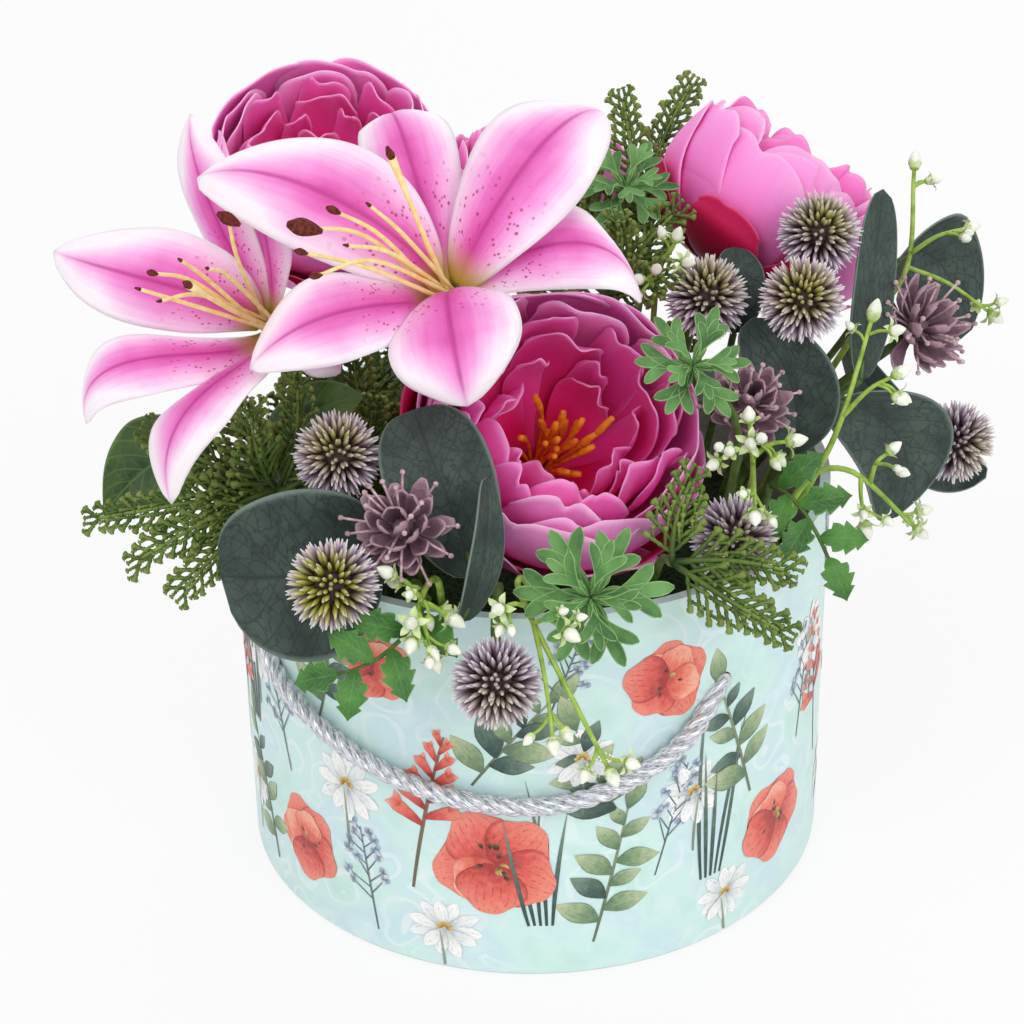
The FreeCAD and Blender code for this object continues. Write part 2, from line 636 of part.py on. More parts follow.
# Lobed parsley rosettes
rosette_stem_radius = 1.3
for name, rosette in rosettes.items():
    head, facing = above_rim(rosette["head"]), unit(rosette["facing"])
    solids = [rooted_stem([head], rosette, rosette_stem_radius)]
    for i in range(rosette_leaves):
        angle = i * math.tau / rosette_leaves
        length = rosette_length * rosette["scale"]
        rim = rosette_stem_radius + piece_gap
        points = [around(head, facing, angle, rim + length * t, 1 + 2 * t * (1 - t)) for t in (0, 0.5, 1)]
        across = unit((points[2] - points[0]).cross(facing))
        solids.append(blade(points, rosette_width * rosette["scale"], across, leaf_cup, lobe_profile,
                            leaf_thickness))
    export(name, solids)

# Cypress sprays: the first branch carries on from the stem, the others leave its side in turn,
# and each has short twigs in two rows
for name, sprays in cypress_sprays.items():
    solids = []
    for spray in sprays:
        solids.append(rooted_stem([], spray, sprig_radius))
        fork, lower = stem_line(spray)[:2]
        up = unit(fork - lower)
        for i, places in enumerate(spray["branches"]):
            middle, tip = map(above_rim, places)
            root = fork - up * (branch_spacing * i)
            along = unit(middle - root)
            lean = up.cross(along).Length
            start = (side_start(root, up, along, sprig_radius, twig_radius) if i
                     else root + along * (piece_gap + sprig_radius * lean))
            points = [start, middle, tip]
            stations = (0, *twig_places, 1)
            solids.append(rod([curve_point(points, t) for t in stations],
                              [twig_radius * (1 - twig_taper * t) for t in stations]))
            for t in twig_places:
                along = curve_direction(points, t)
                side = unit(along.cross(Vec(twig_face)))
                thickness = twig_radius * (1 - twig_taper * t)
                for sign in (-1, 1):
                    shoot = unit(along + side * sign)
                    root = side_start(curve_point(points, t), along, shoot, thickness, shoot_radius)
                    solids.append(rod([root, root + shoot * (twig_length * (1.3 - t))],
                                      [shoot_radius, 0.6 * shoot_radius], 4))
    export(name, solids)

# White bud sprays: side stalks leave the main one in turn, each with a bud at its end
for name, sprays in bud_sprays.items():
    solids = []
    for spray in sprays:
        crown, *others = map(above_rim, spray["buds"])
        fork = stem_line(spray)[0]
        up = unit(crown - fork)
        solids.append(rooted_stem([crown], spray, sprig_radius, bud_stalk))
        solids.append(bud(crown + up * piece_gap, up, bud_length, bud_radius))
        for i, place in enumerate(others):
            root = fork + up * (stalk_spacing * (i + 1))
            along = unit(place - root)
            start = side_start(root, up, along, sprig_radius, bud_stalk)
            solids.append(rod([start, place], [bud_stalk], 4))
            solids.append(bud(place + along * piece_gap, along, bud_length, bud_radius))
    export(name, solids)

# Foam block with a hole for every stem
foam_floor = base_thickness + foam_floor_gap
foam = Part.makeCylinder(foam_radius, foam_top - foam_floor, Vec(0, 0, foam_floor))
foam = foam.cut(Part.makeCompound(foam_holes))
export("floral_foam", [foam])
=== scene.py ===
import bmesh
import bpy
import random
from functools import partial
from math import cos, degrees, exp, pi, radians, sin, sqrt, tau
from mathutils import Matrix, Vector


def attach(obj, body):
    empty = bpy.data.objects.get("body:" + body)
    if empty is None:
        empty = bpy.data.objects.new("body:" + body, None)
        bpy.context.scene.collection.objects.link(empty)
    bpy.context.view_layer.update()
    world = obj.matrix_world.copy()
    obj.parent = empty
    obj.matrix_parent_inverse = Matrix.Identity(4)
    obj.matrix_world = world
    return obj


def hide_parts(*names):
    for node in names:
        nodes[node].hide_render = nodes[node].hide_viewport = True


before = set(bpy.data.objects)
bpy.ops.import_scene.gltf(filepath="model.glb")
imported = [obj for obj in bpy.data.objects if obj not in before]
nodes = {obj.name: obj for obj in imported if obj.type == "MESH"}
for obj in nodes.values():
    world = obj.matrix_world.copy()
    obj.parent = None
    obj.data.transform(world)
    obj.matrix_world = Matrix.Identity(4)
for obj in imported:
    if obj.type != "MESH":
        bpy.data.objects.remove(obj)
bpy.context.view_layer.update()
mm = 0.001
skyward = Vector((0, 0, 1))
frontUp = (0, -0.8, 0.6)  # the way most leaves face
goldenTurn = 2.39996  # radians, spreads points evenly over a ball


def adjust(made, **settings):  # options by name, or a node's plain sockets
    for key, value in settings.items():
        if hasattr(made, key):
            setattr(made, key, value)
        else:
            made.inputs[key.replace("_", " ")].default_value = value
    return made


def vec(place):
    return Vector(place) * mm


def vecs(places):
    return [vec(place) for place in places]


def curveAt(points, t):  # the curve that passes evenly through the points
    last = len(points) - 1
    total = Vector((0, 0, 0))
    for i, point in enumerate(points):
        weight = 1
        for j in range(last + 1):
            if j != i:
                weight *= (t * last - j) / (i - j)
        total += point * weight
    return total


def headingAt(points, t):
    step = 0.01
    return (curveAt(points, t + step) - curveAt(points, t - step)).normalized()


def eased(values, t):  # smooth reading of evenly spaced values
    spot = min(max(t, 0), 1) * (len(values) - 1)
    i = min(int(spot), len(values) - 2)
    f = spot - i
    b, c = values[i], values[i + 1]
    a = values[i - 1] if i else 2 * b - c
    d = values[i + 2] if i + 2 < len(values) else 2 * c - b
    return b + 0.5 * f * (c - a + f * (2 * a - 5 * b + 4 * c - d + f * (3 * (b - c) + d - a)))


def smoothRun(points, steps):
    axes = [[p[k] for p in points] for k in range(3)]
    return [Vector([eased(axis, i / steps) for axis in axes]) for i in range(steps + 1)]


def aroundAxis(centre, facing, angle, out, up):
    u = facing.cross(skyward).normalized()
    v = facing.cross(u)
    return centre + u * (out * cos(angle)) + v * (out * sin(angle)) + facing * up


def newShape():
    bm = bmesh.new()
    bm.loops.layers.uv.new("UVMap")
    return bm


def patch(bm, cols, rows, move, finish=0):  # a grid whose points go where move(s, t) says
    made = bmesh.ops.create_grid(bm, x_segments=cols, y_segments=rows, size=0.5, calc_uvs=True)["verts"]
    for vert in made:
        vert.co = move(2 * vert.co.x, vert.co.y + 0.5)
    for face in {face for vert in made for face in vert.link_faces}:
        face.material_index = finish
    return made


def blade(bm, points, across, half, rise, cols, rows, finish=0):  # petal or leaf along a curve
    def move(s, t):
        normal = across.cross(headingAt(points, t)).normalized()
        width = half(t)
        return curveAt(points, t) + across * (width * s) + normal * rise(s, t, width)
    patch(bm, cols, rows, move, finish)


def tube(bm, points, radii, sides=8, finish=0, unit=mm):  # closed round piece along a run of points
    last = len(points) - 1
    sizes = [eased(radii, i / last) if len(radii) > 1 else radii[0] for i in range(last + 1)]
    sizes = [0] + [size * unit for size in sizes] + [0]
    run = [points[0], *points, points[-1]]
    rings = []
    u = None
    for i, centre in enumerate(run):
        along = (run[min(i + 2, len(run) - 1)] - run[max(i - 2, 0)]).normalized()
        if u is None:
            u = along.orthogonal()
        u = (u - along * u.dot(along)).normalized()
        rings.append((centre, u, along.cross(u)))

    def move(s, t):
        i = round(t * (len(run) - 1))
        centre, u, v = rings[i]
        angle = (s + 1) * pi
        return centre + (u * cos(angle) + v * sin(angle)) * sizes[i]
    made = patch(bm, sides, len(run) - 1, move, finish)
    bmesh.ops.remove_doubles(bm, verts=made, dist=1e-7)


def ball(bm, centre, radius, subdivisions):
    bmesh.ops.create_icosphere(bm, subdivisions=subdivisions, radius=radius * mm,
                               matrix=Matrix.Translation(centre))


def stamp(bm, shape, matrix):  # another copy of a small mesh
    copy = shape.copy()
    copy.transform(matrix)
    bm.from_mesh(copy)
    bpy.data.meshes.remove(copy)


def meshOf(name, bm):
    mesh = bpy.data.meshes.new(name)
    bm.to_mesh(mesh)
    bm.free()
    return mesh


def aimed(centre, direction, size, spin=0):  # a small mesh's own +Z to a direction
    turn = direction.to_track_quat("Z", "Y").to_matrix().to_4x4()
    return Matrix.Translation(centre) @ turn @ Matrix.Rotation(spin, 4, "Z") @ Matrix.Diagonal((*size, 1))


def link(name, data):
    made = bpy.data.objects.new(name, data)
    bpy.context.scene.collection.objects.link(made)
    return made


def finishPiece(name, bm, finishes, standsFor=(), body="box", thickness=0):
    mesh = meshOf(name, bm)
    for finish in finishes:
        mesh.materials.append(finish)
    mesh.shade_smooth()
    piece = link(name, mesh)
    if thickness:
        adjust(piece.modifiers.new("thickness", "SOLIDIFY"), thickness=thickness * mm, offset=0)
    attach(piece, body)
    if standsFor:
        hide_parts(*standsFor)
    return piece


def dress(nodeName, finish):  # a finish for a piece that stays as the CAD made it
    nodes[nodeName].data.materials.clear()
    nodes[nodeName].data.materials.append(finish)


# stems: from a head to a knee over the foam, and on into it
stemShape = {"foamTop": 104.4, "depth": 42, "knee": 5, "lean": 0.9}


def plant(bm, start, stem, entry, radii, sides=8, finish=0, steps=16):
    top, lean = stemShape["foamTop"], stemShape["lean"]
    knee = vec((*entry, top + stemShape["knee"]))
    foot = vec((entry[0] * lean, entry[1] * lean, top - stemShape["depth"]))
    run = smoothRun([*start, *vecs(stem), knee, foot], steps)
    tube(bm, run, radii, sides, finish)
    return run


# finishes
bench = {}  # holds the material, or the world, that is being worked on


def paint(r, g, b):
    return tuple(((c / 255 + 0.055) / 1.055) ** 2.4 if c > 10 else c / 3294.6 for c in (r, g, b)) + (1,)


def add(kind, **settings):
    return adjust(bench["look"].node_tree.nodes.new("ShaderNode" + kind), **settings)


def ready(name):  # a node that is there from the start
    return bench["look"].node_tree.nodes[name]


def newFinish(name, roughness, specular, **sockets):
    bench["look"] = bpy.data.materials.new(name)
    bench["look"].use_nodes = True
    adjust(ready("Principled BSDF"), Roughness=roughness, Specular_IOR_Level=specular, **sockets)


def join(source, target):
    bench["look"].node_tree.links.new(source, target)


def feed(value, socket):  # a link, or a plain number or colour
    if isinstance(value, bpy.types.NodeSocket):
        join(value, socket)
    else:
        socket.default_value = value


def calc(operation, a, b=0):
    made = add("Math", operation=operation)
    feed(a, made.inputs[0])
    feed(b, made.inputs[1])
    return made.outputs[0]


plus, minus, times, larger = (partial(calc, kind) for kind in ("ADD", "SUBTRACT", "MULTIPLY", "MAXIMUM"))


def sway(value, share):  # a grain that swings about nought
    return times(minus(value, 0.5), share)


def blend(factor, a, b):
    made = add("Mix", data_type="RGBA")
    for value, socket in ((factor, 0), (a, 6), (b, 7)):
        feed(value, made.inputs[socket])
    return made.outputs[2]


def ramp(factor, *stops):
    made = add("ValToRGB")
    band = made.color_ramp
    while len(band.elements) < len(stops):
        band.elements.new(0.5)
    for element, (spot, colour) in zip(band.elements, stops):
        element.position = spot
        element.color = paint(*colour) if isinstance(colour, tuple) else (colour, colour, colour, 1)
    feed(factor, made.inputs[0])
    return made.outputs[0]


def objectSpace():
    return add("TexCoord").outputs["Object"]


def uvMap():
    return add("TexCoord").outputs["UV"]


def uvAxes():
    split = add("SeparateXYZ")
    join(uvMap(), split.inputs[0])
    return split.outputs[0], split.outputs[1]


def stretched(*scale):  # the piece's own map, drawn out
    made = add("Mapping", Scale=(*scale, 1))
    join(uvMap(), made.inputs[0])
    return made.outputs[0]


def pattern(kind, source, output, **settings):
    made = add(kind, **settings)
    join(source, made.inputs["Vector"])
    return made.outputs[output]


def grain(source, scale, detail=3):
    return pattern("TexNoise", source, 0, Scale=scale, Detail=detail)


def cells(source, scale, **settings):
    return pattern("TexVoronoi", source, "Distance", Scale=scale, **settings)


def wander(source, scale, detail, reach):  # coordinates pushed about by a noise
    made = add("VectorMath", operation="MULTIPLY_ADD")
    join(pattern("TexNoise", source, "Color", Scale=scale, Detail=detail), made.inputs[0])
    made.inputs[1].default_value = (reach, reach, 0)
    join(source, made.inputs[2])
    return made.outputs[0]


def fromMiddle(u):  # 0 on a blade's middle line, 1 at its edges
    return calc("ABSOLUTE", minus(times(u, 2), 1))


def coat(tone, height=None, strength=0.3, depth=0.4):  # colour and relief into the shader
    shader = ready("Principled BSDF")
    join(tone, shader.inputs["Base Color"])
    if height is not None:
        made = add("Bump", Strength=strength, Distance=depth * mm)
        join(height, made.inputs["Height"])
        join(made.outputs[0], shader.inputs["Normal"])
    return bench["look"]


def plainFinish(name, dark, light, scale, roughness=0.55, lift=0.25):
    newFinish(name, roughness, 0.35)
    cloud = grain(objectSpace(), scale, 4)
    return coat(ramp(cloud, (0.3, dark), (0.7, light)), cloud, lift, 0.5)


print("helpers ready")

# camera at the photograph's angle
camera = {"target": (-6.6, 0, 117.8), "distance": 858.6, "elevation": 28.83, "roll": 1, "lens": 88.98,
          "sensor": 36, "near": 0.01}


def makeCamera():
    tilt, roll = radians(camera["elevation"]), radians(camera["roll"])
    ahead = Vector((0, cos(tilt), -sin(tilt)))
    right = Vector((1, 0, 0))
    up = right.cross(ahead)
    turned, upright = right * cos(roll) - up * sin(roll), up * cos(roll) + right * sin(roll)
    view = link("camera", bpy.data.cameras.new("camera"))
    adjust(view.data, lens=camera["lens"], sensor_width=camera["sensor"], clip_start=camera["near"])
    place = vec(camera["target"]) - ahead * (camera["distance"] * mm)
    view.matrix_world = Matrix.Translation(place) @ Matrix((turned, upright, -ahead)).transposed().to_4x4()
    bpy.context.scene.camera = view


makeCamera()
bpy.context.scene.view_settings.view_transform = "Standard"

# soft studio light and a pale floor; each lamp: place, power, size
studio = {"worldLight": 0.76, "aim": (0, 0, 0.13), "lamps": {
    "keyLamp": ((-0.7, -1.1, 1.5), 7.5, 0.9), "fillLamp": ((0.8, -1.25, 0.95), 6.5, 0.9),
    "backLamp": ((0.4, 1.3, 1.2), 4, 0.8)},
    "floorGrey": 0.86, "floorSize": 4, "floorDrop": 0.0002, "floorGlow": 0.8}


def seenDirectly():
    path = add("LightPath").outputs
    return larger(path["Is Camera Ray"], larger(path["Is Glossy Ray"], path["Is Transmission Ray"]))


def makeStudio():
    bench["look"] = bpy.data.worlds.new("studio")
    bench["look"].use_nodes = True
    bpy.context.scene.world = bench["look"]
    sky = adjust(ready("Background"), Color=(1, 1, 1, 1))
    strength = add("Mix", data_type="FLOAT")
    for value, socket in ((seenDirectly(), 0), (studio["worldLight"], 2), (1, 3)):
        feed(value, strength.inputs[socket])
    join(strength.outputs[0], sky.inputs["Strength"])
    for name, (place, power, size) in studio["lamps"].items():
        lamp = link(name, adjust(bpy.data.lights.new(name, "AREA"), energy=power, size=size))
        lamp.location = place
        lamp.rotation_euler = (Vector(studio["aim"]) - Vector(place)).to_track_quat("-Z", "Y").to_euler()
    grey = studio["floorGrey"]
    newFinish("floorFinish", 0.9, 0.1, Base_Color=(grey, grey, grey, 1))
    glow = add("Emission", Strength=1, Color=(1, 1, 1, 1))
    both = add("MixShader")
    share = times(seenDirectly(), studio["floorGlow"])
    for source, socket in zip((share, ready("Principled BSDF").outputs[0], glow.outputs[0]), both.inputs):
        join(source, socket)
    join(both.outputs[0], ready("Material Output").inputs["Surface"])
    bm = bmesh.new()
    bmesh.ops.create_grid(bm, x_segments=1, y_segments=1, size=studio["floorSize"],
                          matrix=Matrix.Translation(skyward * -studio["floorDrop"]))
    mesh = meshOf("floor", bm)
    mesh.materials.append(bench["look"])
    floor = link("floor", mesh)


makeStudio()
print("camera and studio ready")

# satin rope handle, three strands laid round the route
rope = {"radius": 104.2, "holeHeight": 100.5, "holes": (-64, 36), "endRadius": 99, "diameter": 6.4,
        "route": [(-55, 94), (-45, 86), (-35, 79.5), (-25, 74.5), (-15, 71), (-5, 69.5), (5, 70),
                  (15, 75), (23, 82), (30, 91)], "strands": 3, "strandShare": 0.25, "pitch": 18,
        "length": 0.195, "steps": 24}


def polar(angle, radius, z):
    turn = radians(angle)
    return Vector((radius * sin(turn), -radius * cos(turn), z)) * mm


def satinFinish():
    newFinish("silverSatin", 0.28, 0.6, Metallic=0.45)
    fibresAndSheen = grain(stretched(26, 90), 1, 2)
    # streaks along the threads: the grey is the satin's own colour, the near-white streaks are painted
    # sheen highlights
    tone = ramp(fibresAndSheen, (0.3, (122, 126, 134)), (0.46, (190, 193, 200)), (0.6, (238, 239, 243)),
                (0.74, (250, 250, 252)))
    return coat(tone, fibresAndSheen, 0.5, 0.3)


def ropePath():
    first, last = [polar(a, rope["endRadius"], rope["holeHeight"]) for a in rope["holes"]]
    route = [first, *(polar(a, rope["radius"], z) for a, z in rope["route"]), last]
    data = adjust(bpy.data.curves.new("ropeRoute", "CURVE"), dimensions="3D", resolution_u=rope["steps"])
    line = data.splines.new("NURBS")
    line.points.add(len(route) - 1)
    for point, place in zip(line.points, route):
        point.co = (*place, 1)
    adjust(line, order_u=3, use_endpoint_u=True)
    guide = link("ropeRoute", data)
    bpy.context.view_layer.update()
    mesh = bpy.data.meshes.new_from_object(guide.evaluated_get(bpy.context.evaluated_depsgraph_get()))
    path = [v.co.copy() for v in mesh.vertices]
    bpy.data.objects.remove(guide)
    bpy.data.meshes.remove(mesh)
    return path


def makeRope():
    path = ropePath()
    far = [0]
    for a, b in zip(path, path[1:]):
        far.append(far[-1] + (b - a).length)
    bm = newShape()
    strandRadius = rope["strandShare"] * rope["diameter"]
    offset = (0.5 * rope["diameter"] - strandRadius) * mm
    for strand in range(rope["strands"]):
        run = []
        side = None
        for i, centre in enumerate(path):
            along = (path[min(i + 1, len(path) - 1)] - path[max(i - 1, 0)]).normalized()
            side = along.orthogonal() if side is None else side
            side = (side - along * side.dot(along)).normalized()
            angle = tau * (far[i] / (rope["pitch"] * mm) + strand / rope["strands"])
            run.append(centre + (side * cos(angle) + along.cross(side) * sin(angle)) * offset)
        tube(bm, run, [strandRadius], 10)
    satin = satinFinish()
    piece = finishPiece("rope_handle", bm, [satin], ["handle_rope"], "handle")
    tuple(path[0])
    [tuple(p) for p in path]
    dress("handle_rope_ends", satin)
    print("rope length", round(far[-1], 4))


makeRope()

# cardboard box, its paper, and the foam inside
box = {"radius": 100, "height": 136}


def wrapFinish():
    newFinish("mintPaper", 0.42, 0.35)
    spot = objectSpace()
    split, flat = add("SeparateXYZ"), add("CombineXYZ")
    join(spot, split.inputs[0])
    x, y, z = split.outputs
    angle = calc("ARCTAN2", x, times(y, -1))
    join(times(angle, box["radius"] * mm), flat.inputs[0])
    join(z, flat.inputs[1])
    sheet = flat.outputs[0]
    ground = ramp(grain(sheet, 38, 5), (0.3, (192, 227, 219)), (0.46, (209, 237, 232)),
                  (0.58, (204, 229, 234)), (0.72, (220, 241, 240)))
    curls = cells(wander(sheet, 55, 1, 0.016), 46, Randomness=0.35)
    scroll = ramp(calc("SINE", times(curls, 22)), (0.55, 0), (0.8, 1))
    patchy = ramp(grain(sheet, 24, 2), (0.42, 0), (0.6, 0.62))
    tone = blend(times(scroll, patchy), ground, paint(232, 243, 246))
    return coat(tone, grain(spot, 900), 0.06, 0.2)


def boardFinish():
    newFinish("greyCard", 0.85, 0.2)
    spot = objectSpace()
    tone = ramp(grain(spot, 700, 4), (0.3, (176, 178, 170)), (0.7, (206, 207, 200)))
    return coat(tone, grain(spot, 1400, 2), 0.2, 0.2)


def shadedFoamFinish():
    newFinish("foamInPaintedShade", 0.95, 0.1)
    # near-black green: the dry foam's green darkened by painted shade of the box's shadowed inside; the
    # pores are its own texture
    pores = cells(objectSpace(), 620)
    return coat(ramp(pores, (0.15, (22, 34, 20)), (0.6, (52, 70, 44))), pores, 0.7, 0.8)


greyCard = boardFinish()
for nodeName, finish in (("printed_wrap", wrapFinish()), ("box_wall", greyCard), ("box_base", greyCard),
                         ("floral_foam", shadedFoamFinish())):
    dress(nodeName, finish)
print("box finished")

# botanical print on the paper: loose blossoms, daisies, leafy and slate sprigs, grass
# each motif: angle round the box, height on it, size, and for sprigs the lean
printed = {"lift": 0.05, "layer": 0.035, "layers": 7, "foot": 1.2, "rimGap": 0.6,
           "counts": {"leaves": 9, "blades": 5, "twigs": 13, "florets": 4, "trumpets": 11, "petals": 5,
                      "anthers": 26, "eye": 7, "rays": 11, "disc": 9},
           "blossoms": [(-8, 44, 21), (52, 34, 18), (24, 108, 15), (-50, 30, 16), (96, 80, 20),
                        (132, 30, 17), (-96, 62, 19), (-134, 104, 16), (174, 88, 20), (-166, 28, 17),
                        (-30, 112, 13)],
           "daisies": [(-38, 62, 13), (30, 62, 12), (-18, 16, 12), (66, 92, 13), (38, 16, 11), (80, 24, 12),
                       (-72, 34, 12), (-66, 92, 12), (112, 112, 12), (116, 56, 12), (150, 64, 13),
                       (-116, 24, 12), (-150, 66, 13), (-110, 108, 12), (8, 84, 11), (192, 48, 12)],
           "spikes": [(-24, 30, 62, 8), (72, 40, 60, -10), (-80, 40, 66, 6), (146, 74, 56, -8),
                      (-136, 30, 60, 10), (104, 14, 52, 4)],
           "leafy": [(10, 12, 52, 14), (44, 52, 50, -16), (-44, 84, 44, 20), (-62, 10, 50, -12),
                     (16, 58, 40, -30), (88, 42, 50, 12), (122, 66, 52, -14), (160, 14, 56, 10),
                     (-100, 8, 48, 16), (-124, 56, 50, -18), (-158, 76, 48, 14), (186, 58, 50, -12),
                     (-12, 74, 40, 34)],
           "slate": [(-32, 8, 40, -8), (22, 34, 42, 16), (60, 58, 40, 10), (-54, 54, 42, -14),
                     (2, 100, 30, 20), (84, 96, 34, -20), (108, 30, 42, 12), (140, 100, 30, 8),
                     (-88, 96, 34, 14), (-116, 72, 40, -10), (-146, 10, 42, 12), (170, 36, 42, -16),
                     (-176, 96, 32, 10)],
           "grass": [(34, 26, 74, 3), (-70, 60, 66, -4), (92, 8, 70, 4), (158, 30, 70, -3),
                     (-106, 30, 72, 3), (-150, 34, 66, -4), (0, 20, 58, -5)]}
# each finish: colour at root, middle, edge and lines, and how many lines
printFinishes = {
    "print_leaves": [
        ("sageStem", (104, 116, 88), (124, 138, 106), (150, 160, 128), (70, 82, 64), 9),
        ("sageLeaf", (98, 126, 96), (140, 164, 124), (188, 200, 160), (66, 88, 70), 5),
        ("deepLeaf", (54, 78, 72), (84, 108, 98), (126, 146, 130), (36, 54, 54), 5)],
    "print_slate": [
        ("slateStem", (92, 104, 112), (110, 122, 130), (130, 140, 146), (70, 80, 90), 9),
        ("slateFloret", (104, 122, 144), (142, 158, 178), (186, 198, 212), (84, 98, 120), 2),
        ("paleFloret", (150, 164, 178), (190, 200, 212), (222, 228, 234), (120, 134, 150), 2)],
    "print_coral": [
        ("coralPetal", (168, 60, 58), (222, 98, 88), (238, 140, 122), (150, 44, 48), 9),
        ("coralLight", (206, 84, 74), (236, 128, 108), (246, 178, 152), (176, 60, 58), 9),
        ("darkAnther", (52, 40, 40), (84, 62, 48), (136, 104, 62), (34, 28, 30), 2),
        ("russetStem", (112, 100, 78), (126, 112, 86), (142, 122, 94), (86, 74, 62), 9),
        ("ochreEye", (122, 112, 52), (178, 160, 84), (206, 190, 120), (90, 80, 40), 2)],
    "print_white": [
        ("whitePetal", (196, 200, 196), (236, 238, 236), (250, 250, 248), (158, 166, 168), 3),
        ("greyPetal", (176, 184, 186), (222, 227, 228), (244, 246, 246), (140, 150, 156), 3),
        ("paleStem", (120, 138, 116), (140, 156, 130), (158, 172, 146), (96, 112, 96), 9),
        ("amberEye", (150, 112, 44), (206, 166, 72), (228, 200, 120), (120, 84, 36), 2)],
}
printOutlines = {"broad": (0.3, 0.78, 1, 0.96, 0.55), "narrow": (0.22, 0.6, 0.95, 1, 0.3),
                 "leaf": (0.1, 0.75, 1, 0.66, 0.04), "stalk": (0.8, 1, 0.9, 0.6),
                 "disc": (0.15, 0.86, 1, 0.86, 0.15), "trumpet": (0.25, 0.6, 0.8, 1, 0.55),
                 "grass": (0.6, 1, 0.8, 0.05)}


def printFinish(name, root, middle, edge, line, lines):  # brushed from root to edge, with drawn veins
    newFinish(name, 0.45, 0.35)
    u, v = uvAxes()
    spot = objectSpace()
    wash = plus(v, sway(grain(spot, 420, 4), 0.7))
    tone = ramp(wash, (0.08, root), (0.45, middle), (0.9, edge))
    vein = times(calc("SINE", times(u, lines * tau)), grain(spot, 700, 2))
    drawn = larger(ramp(vein, (0.42, 0), (0.6, 0.5)),
                   ramp(fromMiddle(u), (0.86, 0), (0.98, 0.55)))
    return coat(blend(drawn, tone, paint(*line)))


